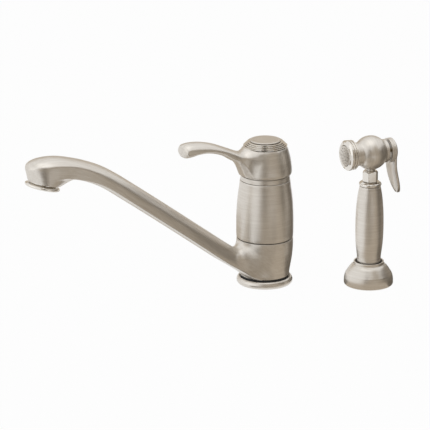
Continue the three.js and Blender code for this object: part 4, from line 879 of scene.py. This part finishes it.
# %% Grip and bead
GRIP_BOTTOM, GRIP_TOP = span("spray_grip")
grip_wall = smooth_run([
    (11.5, 10), (11.6, 26.3), (11.9, 30.8), (12.65, 36.8), (13.35, 44.3), (13.7, 54.5),
    (13.66, 64.7), (13.4, 73.5), (12.9, 80.5), (12.3, 87), (11.4, 93.2), (10.4, 98.6)])
turned("grip_turned", [
    (8.6, GRIP_BOTTOM), (10.8, GRIP_BOTTOM, 0.4), *grip_wall, (10.0, GRIP_TOP, 0.3),
    (4.6, GRIP_TOP), (4.6, 30), (8.6, 30)], SPRAY, "spray_grip")
BEAD_BOTTOM, BEAD_TOP = span("grip_ring")
turned("bead_turned", [
    (4.6, BEAD_BOTTOM), (10.0, BEAD_BOTTOM, 0.2),
    *smooth_run(lifted(BEAD_BOTTOM, [
        (10.6, 0.5), (10.95, 1.3), (10.95, 2.3), (10.4, 3.2), (9.4, 3.9)])),
    (8.6, BEAD_TOP, 0.2), (4.6, BEAD_TOP)], SPRAY, "grip_ring")

# %% [markdown]
# The nut is a hexagon with a turned chamfer above. A cylinder of six sides would lose the curved
# line where the chamfer cuts the flats. So its outline is worked out round the circle: at each
# angle the radius is the smaller of the flat's and the chamfer's.

# %% Six sided nut
NUT_BOTTOM, NUT_TOP = span("neck_nut")
NUT_TALL = NUT_TOP - NUT_BOTTOM
NUT_CORNER, NUT_TURN = 7.9, math.radians(-8.8)
CORNER_SOFT, NUT_BORE = 0.04, 4.6


def nut_mesh(steps=288):
    heights = NUT_BOTTOM + np.array([0, 0.25, *np.linspace(0.5, NUT_TALL - 2.2, 4),
                                     *np.linspace(NUT_TALL - 2.0, NUT_TALL, 12)])
    limit = np.interp(heights - NUT_BOTTOM, [0, 0.5, NUT_TALL - 2.0, NUT_TALL - 0.4, NUT_TALL],
                      [7.4, 7.75, 7.75, 6.5, 5.9])
    angles = np.arange(steps) * 2 * math.pi / steps
    off = (angles - NUT_TURN + math.pi / 6) % (math.pi / 3) - math.pi / 6
    off = np.sqrt((math.pi / 6 - np.abs(off)) ** 2 + CORNER_SOFT ** 2)
    flat = NUT_CORNER * math.cos(math.pi / 6) / np.cos(off)
    rings = [(NUT_BORE, NUT_BOTTOM), *zip(np.minimum(flat, limit[:, None]), heights),
             (NUT_BORE, NUT_TOP)]
    cos, sin, one = np.cos(angles), np.sin(angles), np.ones(steps)
    points = np.vstack([np.column_stack([r * cos, r * sin, z * one]) for r, z in rings])
    grain = np.vstack([np.column_stack([cos, sin, z * one * LINES_PER_MM]) for _, z in rings])
    numbers = np.arange(len(points)).reshape(-1, steps).tolist()
    return points, bands([*numbers, numbers[0]]), grain


points, faces, grain = nut_mesh()
nut = show("neck_nut_hexagon", points, faces, None, grain, SPRAY, "neck_nut")
nut.data.set_sharp_from_angle(angle=math.radians(24))
print("nut", len(nut.data.polygons), "faces")

# %% Spray head with its stub
BALL_RADIUS, NECK_RADIUS = 16.6, 11.4
back_turn = math.acos(NECK_RADIUS / BALL_RADIUS) - 0.03
ball = [(BALL_RADIUS * math.cos(a), BALL_RADIUS * math.sin(a), 0)
        for a in np.linspace(-back_turn, back_turn, 30)]
turned("head_turned", [
    (9.8, -8.0), (9.8, -15.6, 0.1), (11.4, -15.6, 0.4), (NECK_RADIUS, ball[0][1] - 0.6, 0.9),
    *ball, (NECK_RADIUS, ball[-1][1] + 0.6, 0.9), (11.4, 26.0, 0.3), (8.7, 26.0), (8.7, 4.7),
    (7.0, 4.7), (7.0, -8.0)], SPRAY_HEAD, "spray_head")
turned("head_stub", [(2.8, 85.6), (4.3, 85.6), (4.3, 117.4), (2.8, 117.4)], SPRAY, "spray_head",
       steps=64)

# %% [markdown]
# The face ring carries two fine ridges at its back and a rounded bevel in front. The plate inside
# it is bored with three rings of jets. They are real holes, cut as in the castings, because a
# dark dot painted on the plate would look flat from the side.

# %% Face ring and spray plate
RING_FOOT = 19.0
turned("face_ring_turned", [
    *lifted(RING_FOOT, [
        (11.7, 0), (14.0, 0, 0.3), (14.5, 0.6, 0.3), (14.5, 1.5, 0.3), (13.5, 1.9, 0.1),
        (13.5, 2.6, 0.1), (14.6, 2.9, 0.3), (14.6, 4.1, 0.3), (13.6, 4.5, 0.1), (13.6, 5.1, 0.1),
        (14.8, 5.4, 0.4), (14.8, 7.2, 0.9), (13.2, 8.6, 0.8), (11.4, 9.2, 0.4)]),
    (10.6, 28.2, 0.3), (10.1, 27.6, 0.2), (10.1, 26.3, 0.1), (11.7, 26.3, 0.1)],
    SPRAY_HEAD, "face_ring")
PLATE_CROWN, PLATE_FALL, PLATE_EDGE = 28.9, 0.5, 9.2
points, faces, _, _ = turned_mesh([
    (0, 24.2), (8.4, 24.2), (8.4, 26.3, 0.1), (9.8, 26.3, 0.1), (9.8, 28.1, 0.5),
    *smooth_run([(PLATE_EDGE, 28.4), (6.0, 28.75), (0.0, PLATE_CROWN)], 5)], False)


def plate_grain(p):
    return np.column_stack([p[:, 0] * DRIFT_PER_MM, p[:, 1] * DRIFT_PER_MM,
                            np.hypot(p[:, 0], p[:, 1]) * LINES_PER_MM])


def plate_field(p):
    share = np.hypot(p[:, 0], p[:, 1]) / PLATE_EDGE
    return p[:, 2] - PLATE_CROWN + PLATE_FALL * share ** 2


JET_RADIUS = 0.55
jets = []
for count, circle in ((12, 7.2), (8, 4.6), (4, 2.0)):
    for angle in np.arange(count) * 2 * math.pi / count:
        at = Matrix.Translation((circle * math.cos(angle), circle * math.sin(angle), 0))
        jets.append(drill(JET_RADIUS, 27, 30, SPRAY_HEAD @ at, 16))
cast_piece("spray_plate_turned", points, faces, plate_field, plate_grain, jets, SPRAY_HEAD,
           "spray_plate")

# %% [markdown]
# ## The trigger
# A cap covers the back of the head and hangs on a pin at its top. The lever hangs from the cap
# and flares away from the grip, so that fingers can squeeze it. Both are one piece. The lever is
# pressed from thick sheet with rolled edges: one section, drawn across, is carried down the
# lever while its width, its depth and its place change.

# %% Trigger cap and lever
RING_BACK, LIP_BACK, PLATE_BACK = 18.1, 21.4, 24.0
STRAP_HALF, STRAP_TOP, STRAP_END, STRAP_FLARE = 10.0, -2.0, -43.5, 7.0
STRAP_THICK, STRAP_SWELL, FLARE_FROM, TAPER_FROM = 2.6, 0.3, 0.3, 0.55
# Across the strap as shares of its half width, with the depth as a share of its thickness.
STRAP_SECTION = [
    (1.0, 0.5), (0.985, 0.12), (0.93, 0), (0.86, 0), (0.80, 0.2), (0.0, 0.24), (-0.80, 0.2),
    (-0.86, 0), (-0.93, 0), (-0.985, 0.12), (-1.0, 0.5), (-0.98, 0.82), (-0.9, 1.0), (0.9, 1.0),
    (0.98, 0.82)]
rings = []
for share in (0, 0.1, 0.2, 0.3, 0.4, 0.5, 0.6, 0.68, 0.75, 0.81, 0.87, 0.92, 0.96, 0.985, 1.0):
    height = BALL_HEIGHT + STRAP_TOP + (STRAP_END - STRAP_TOP) * share
    back = LIP_BACK + STRAP_FLARE * max(0, (share - FLARE_FROM) / (1 - FLARE_FROM)) ** 1.3
    ahead = max(0, (share - TAPER_FROM) / (1 - TAPER_FROM))
    width = STRAP_HALF * math.sqrt(max(0.02, 1 - ahead ** 2))
    thick = STRAP_THICK + STRAP_SWELL * share
    rings.append([(-back - thick * depth, across * width, height)
                  for across, depth in STRAP_SECTION])
points = np.array([p for ring in rings for p in ring])
numbers = np.arange(len(points)).reshape(len(rings), -1).tolist()
faces = [numbers[0][::-1], numbers[-1], *bands(numbers)]
grain = np.column_stack([points[:, 2] * DRIFT_PER_MM, points[:, 1] * LINES_PER_MM, points[:, 0]])
strap = show("trigger_strap", points, faces, None, grain, SPRAY, "trigger_lever")
strap.data.set_sharp_from_angle(angle=math.radians(50))
turned("trigger_cap", [
    (0, -PLATE_BACK), (10.6, -PLATE_BACK, 0.9), (12.0, -PLATE_BACK + 1.2, 0.7),
    (12.0, -LIP_BACK + 0.3, 0.3), (11.5, -LIP_BACK + 0.6, 0.15), (11.5, -LIP_BACK + 1.0, 0.15),
    (12.0, -LIP_BACK + 1.3, 0.3), (12.0, -RING_BACK, 0.4), (9.6, -RING_BACK, 0.3),
    (9.6, -LIP_BACK, 0.2), (0, -LIP_BACK)], SPRAY_HEAD, "trigger_lever", closed=False)

# %% Back plug
turned("back_plug_turned", [
    (2.3, -17.1), (8.0, -17.1, 0.4), (8.4, -15.7, 0.2), (9.6, -15.6, 0.2), (9.6, -8.3),
    (2.3, -8.3)], SPRAY_HEAD, "back_plug")

# %% [markdown]
# ## Floor and white room
# The photograph is a plain studio shot on white. The floor and the world show white to the camera
# and to reflections, and the floor keeps a small share of its own shading for the shadow. More
# light would make the background white too, but it would wash out the metal.

# %% White floor and world


def seen_directly(tree):
    """1 for camera, glossy and transmission rays, 0 for the light that falls on things."""
    camera, glossy, through = (add_node(tree, "ShaderNodeLightPath", output=name) for name in (
        "Is Camera Ray", "Is Glossy Ray", "Is Transmission Ray"))
    return camera.maths("MAXIMUM", camera.maths("MAXIMUM", camera, glossy), through)


FLOOR_HALF, FLOOR_DROP, FLOOR_WHITE, ROOM_LIGHT = 6.0, -0.0002, 0.97, 0.45
floor = new_object("floor", [(x * FLOOR_HALF, y * FLOOR_HALF, FLOOR_DROP) for x, y in (
    (-1, -1), (1, -1), (1, 1), (-1, 1))], [(0, 1, 2, 3)])
paint, tree = new_finish("floor_white")
matt = add_node(tree, "ShaderNodeBsdfDiffuse", Color=(0.8, 0.8, 0.8, 1))
glow = add_node(tree, "ShaderNodeEmission", Color=(1, 1, 1, 1), Strength=1.0)
end_finish(tree, add_node(tree, "ShaderNodeMixShader", **{
    "0": seen_directly(tree) * FLOOR_WHITE, "1": matt, "2": glow}))
floor.data.materials.append(paint)

world = bpy.data.worlds.new("studio")
bpy.context.scene.world = world
world.use_nodes = True
tree = world.node_tree
tree.nodes.clear()
room, white = (add_node(tree, "ShaderNodeBackground", Color=(1, 1, 1, 1), Strength=strength)
               for strength in (ROOM_LIGHT, 1.0))
shown = add_node(tree, "ShaderNodeMixShader", **{"0": seen_directly(tree), "1": room, "2": white})
add_node(tree, "ShaderNodeOutputWorld", Surface=shown)
print("floor", FLOOR_HALF * 2, "m wide")

# %% [markdown]
# ## Lamps
# Three large lamps give soft light from the left, the right and above. They are weak, because
# the room gives the metal most of what it mirrors, and stronger lamps only burn its edges white.

# %% Three lamps
LOOK_AT = Vector((-0.05, 0.0, 0.07))


def softbox(name, bearing, height, distance, size, power):
    lamp = bpy.data.lights.new(name, "AREA")
    lamp.shape, lamp.size, lamp.size_y, lamp.energy = "RECTANGLE", *size, power
    made = bpy.data.objects.new(name, lamp)
    angle = math.radians(bearing)
    made.location = (LOOK_AT.x + distance * math.sin(angle),
                     LOOK_AT.y - distance * math.cos(angle), height)
    made.rotation_euler = (made.location - LOOK_AT).to_track_quat("Z", "Y").to_euler()
    bpy.context.scene.collection.objects.link(made)
    print(name, power, "W")


softbox("key_left", -62, 0.75, 1.5, (1.4, 1.2), 1.5)
softbox("fill_right", 60, 0.6, 1.6, (1.0, 0.9), 1.0)
softbox("top", 0, 1.7, 0.15, (1.3, 1.3), 2.2)

# %% [markdown]
# ## Grey cards
# Metal shows what stands round it, and in a white room it would look like white plastic. A
# photographer stands grey cards just outside the picture. These do the same: only reflections
# see them, and each one's shade is the tone of one band on the metal. A wall seen from a little
# above mirrors the floor, so most of them lie there. A white one, clear from its other side,
# keeps the faucet out of the spray's polished nut.

# %% Cards
CARD_TINT = (1.0, 0.88, 0.73)


def card(name, corners, shade, tint=CARD_TINT, one_sided=False):
    made = new_object(name, corners, [range(len(corners))])
    paint, tree = new_finish(name + "_grey")
    look = add_node(tree, "ShaderNodeEmission", Color=(*(t * shade for t in tint), 1))
    if one_sided:
        behind = add_node(tree, "ShaderNodeNewGeometry", output="Backfacing")
        clear = add_node(tree, "ShaderNodeBsdfTransparent")
        look = add_node(tree, "ShaderNodeMixShader", **{"0": behind, "1": look, "2": clear})
    end_finish(tree, look)
    made.data.materials.append(paint)
    made.visible_camera = made.visible_diffuse = made.visible_shadow = False


def at_bearing(bearing, distance, height=0.0):
    """A place on the floor or above it. Bearing 0 is in front, 90 is to the right."""
    angle = math.radians(bearing)
    return distance * math.sin(angle), -distance * math.cos(angle), height


def standing(left, right, low, high):
    return [(*left[:2], low), (*right[:2], low), (*right[:2], high), (*left[:2], high)]


# Name, two bearings, two distances, shade, and tenths of a millimetre over the floor.
LYING = (
    ("front_floor", -14, 32, 0.031, 0.16, 0.42, 5),
    ("front_middle", -14, 32, 0.16, 0.26, 0.52, 5),
    ("arm_foot", -34, -14, 0.031, 0.17, 0.20, 5),
    ("front_far", -20, 48, 0.26, 0.40, 0.47, 6),
    ("ridge", -20, 14, 0.40, 0.75, 0.05, 6),
    ("right_floor", 32, 84, 0.031, 0.26, 0.54, 7),
    ("right_far", 48, 70, 0.26, 0.74, 0.54, 8),
    ("crease_floor", 70, 84, 0.26, 0.74, 0.25, 8),
    ("right_back_floor", 84, 150, 0.031, 0.8, 0.17, 9),
    ("left_back_floor", -165, -100, 0.06, 0.25, 0.55, 10),
    ("arm_crease", 34, 42, 0.12, 0.42, 0.2, 11))
for name, start, end, near, far, shade, height in LYING:
    sweep = np.linspace(start, end, 9)
    card(name + "_card", [at_bearing(b, near, height * 0.0001) for b in sweep]
         + [at_bearing(b, far, height * 0.0001) for b in sweep[::-1]], shade)
# Name, two bearings, distance, two heights, shade.
STANDING = (
    ("right", 30, 68, 0.75, 0.0, 1.0, 0.44),
    ("crease", 68, 122, 0.75, 0.0, 0.42, 0.18),
    ("right_edge", 122, 150, 0.75, 0.0, 0.30, 0.18),
    ("back", 150, 230, 0.9, 0.12, 0.62, 0.60),
    ("front", -16, 34, 0.85, 0.0, 0.6, 0.46),
    ("camera", -4, 3, 0.6, 0.0, 0.9, 0.02))
for name, start, end, distance, low, high, shade in STANDING:
    card(name + "_card",
         standing(at_bearing(start, distance), at_bearing(end, distance), low, high), shade)
card("white_between", standing((0.052, -0.07), (0.052, 0.015), 0, 0.11), 1.0, (1, 1, 1), True)
card("spray_side_card", standing((0.190, 0.0156), (0.1532, 0.0737), 0.005, 0.075), 0.30)
print(len(LYING), "cards lie,", len(STANDING) + 2, "stand")

# %% [markdown]
# ## Camera
# The view was worked out from the round edges in the photograph: how flat each ellipse looks
# gives the height of the eye, and how fast that changes from the top to the deck gives its
# distance. It is a long lens from 2.6 m away, 17.65 degrees down and 3.22 degrees to the right.

# %% Camera
AZIMUTH, ELEVATION, DISTANCE = math.radians(3.22), math.radians(17.65), 2.606
SENSOR, FOCAL_PIXELS, IMAGE_PIXELS = 36.0, 2659, 430
LOOK_RIGHT, LOOK_UP = -0.0485, 0.0647
turn = (Matrix.Rotation(AZIMUTH, 4, "Z") @ Matrix.Rotation(math.pi / 2 - ELEVATION, 4, "X"))
lens = bpy.data.cameras.new("view")
lens.sensor_width, lens.lens = SENSOR, SENSOR * FOCAL_PIXELS / IMAGE_PIXELS
camera = bpy.data.objects.new("view", lens)
camera.matrix_world = turn @ Matrix.Translation((LOOK_RIGHT, LOOK_UP, DISTANCE))
bpy.context.scene.collection.objects.link(camera)
bpy.context.scene.camera = camera
bpy.context.scene.view_settings.view_transform = "Standard"
print("camera at", [round(v, 3) for v in camera.location])
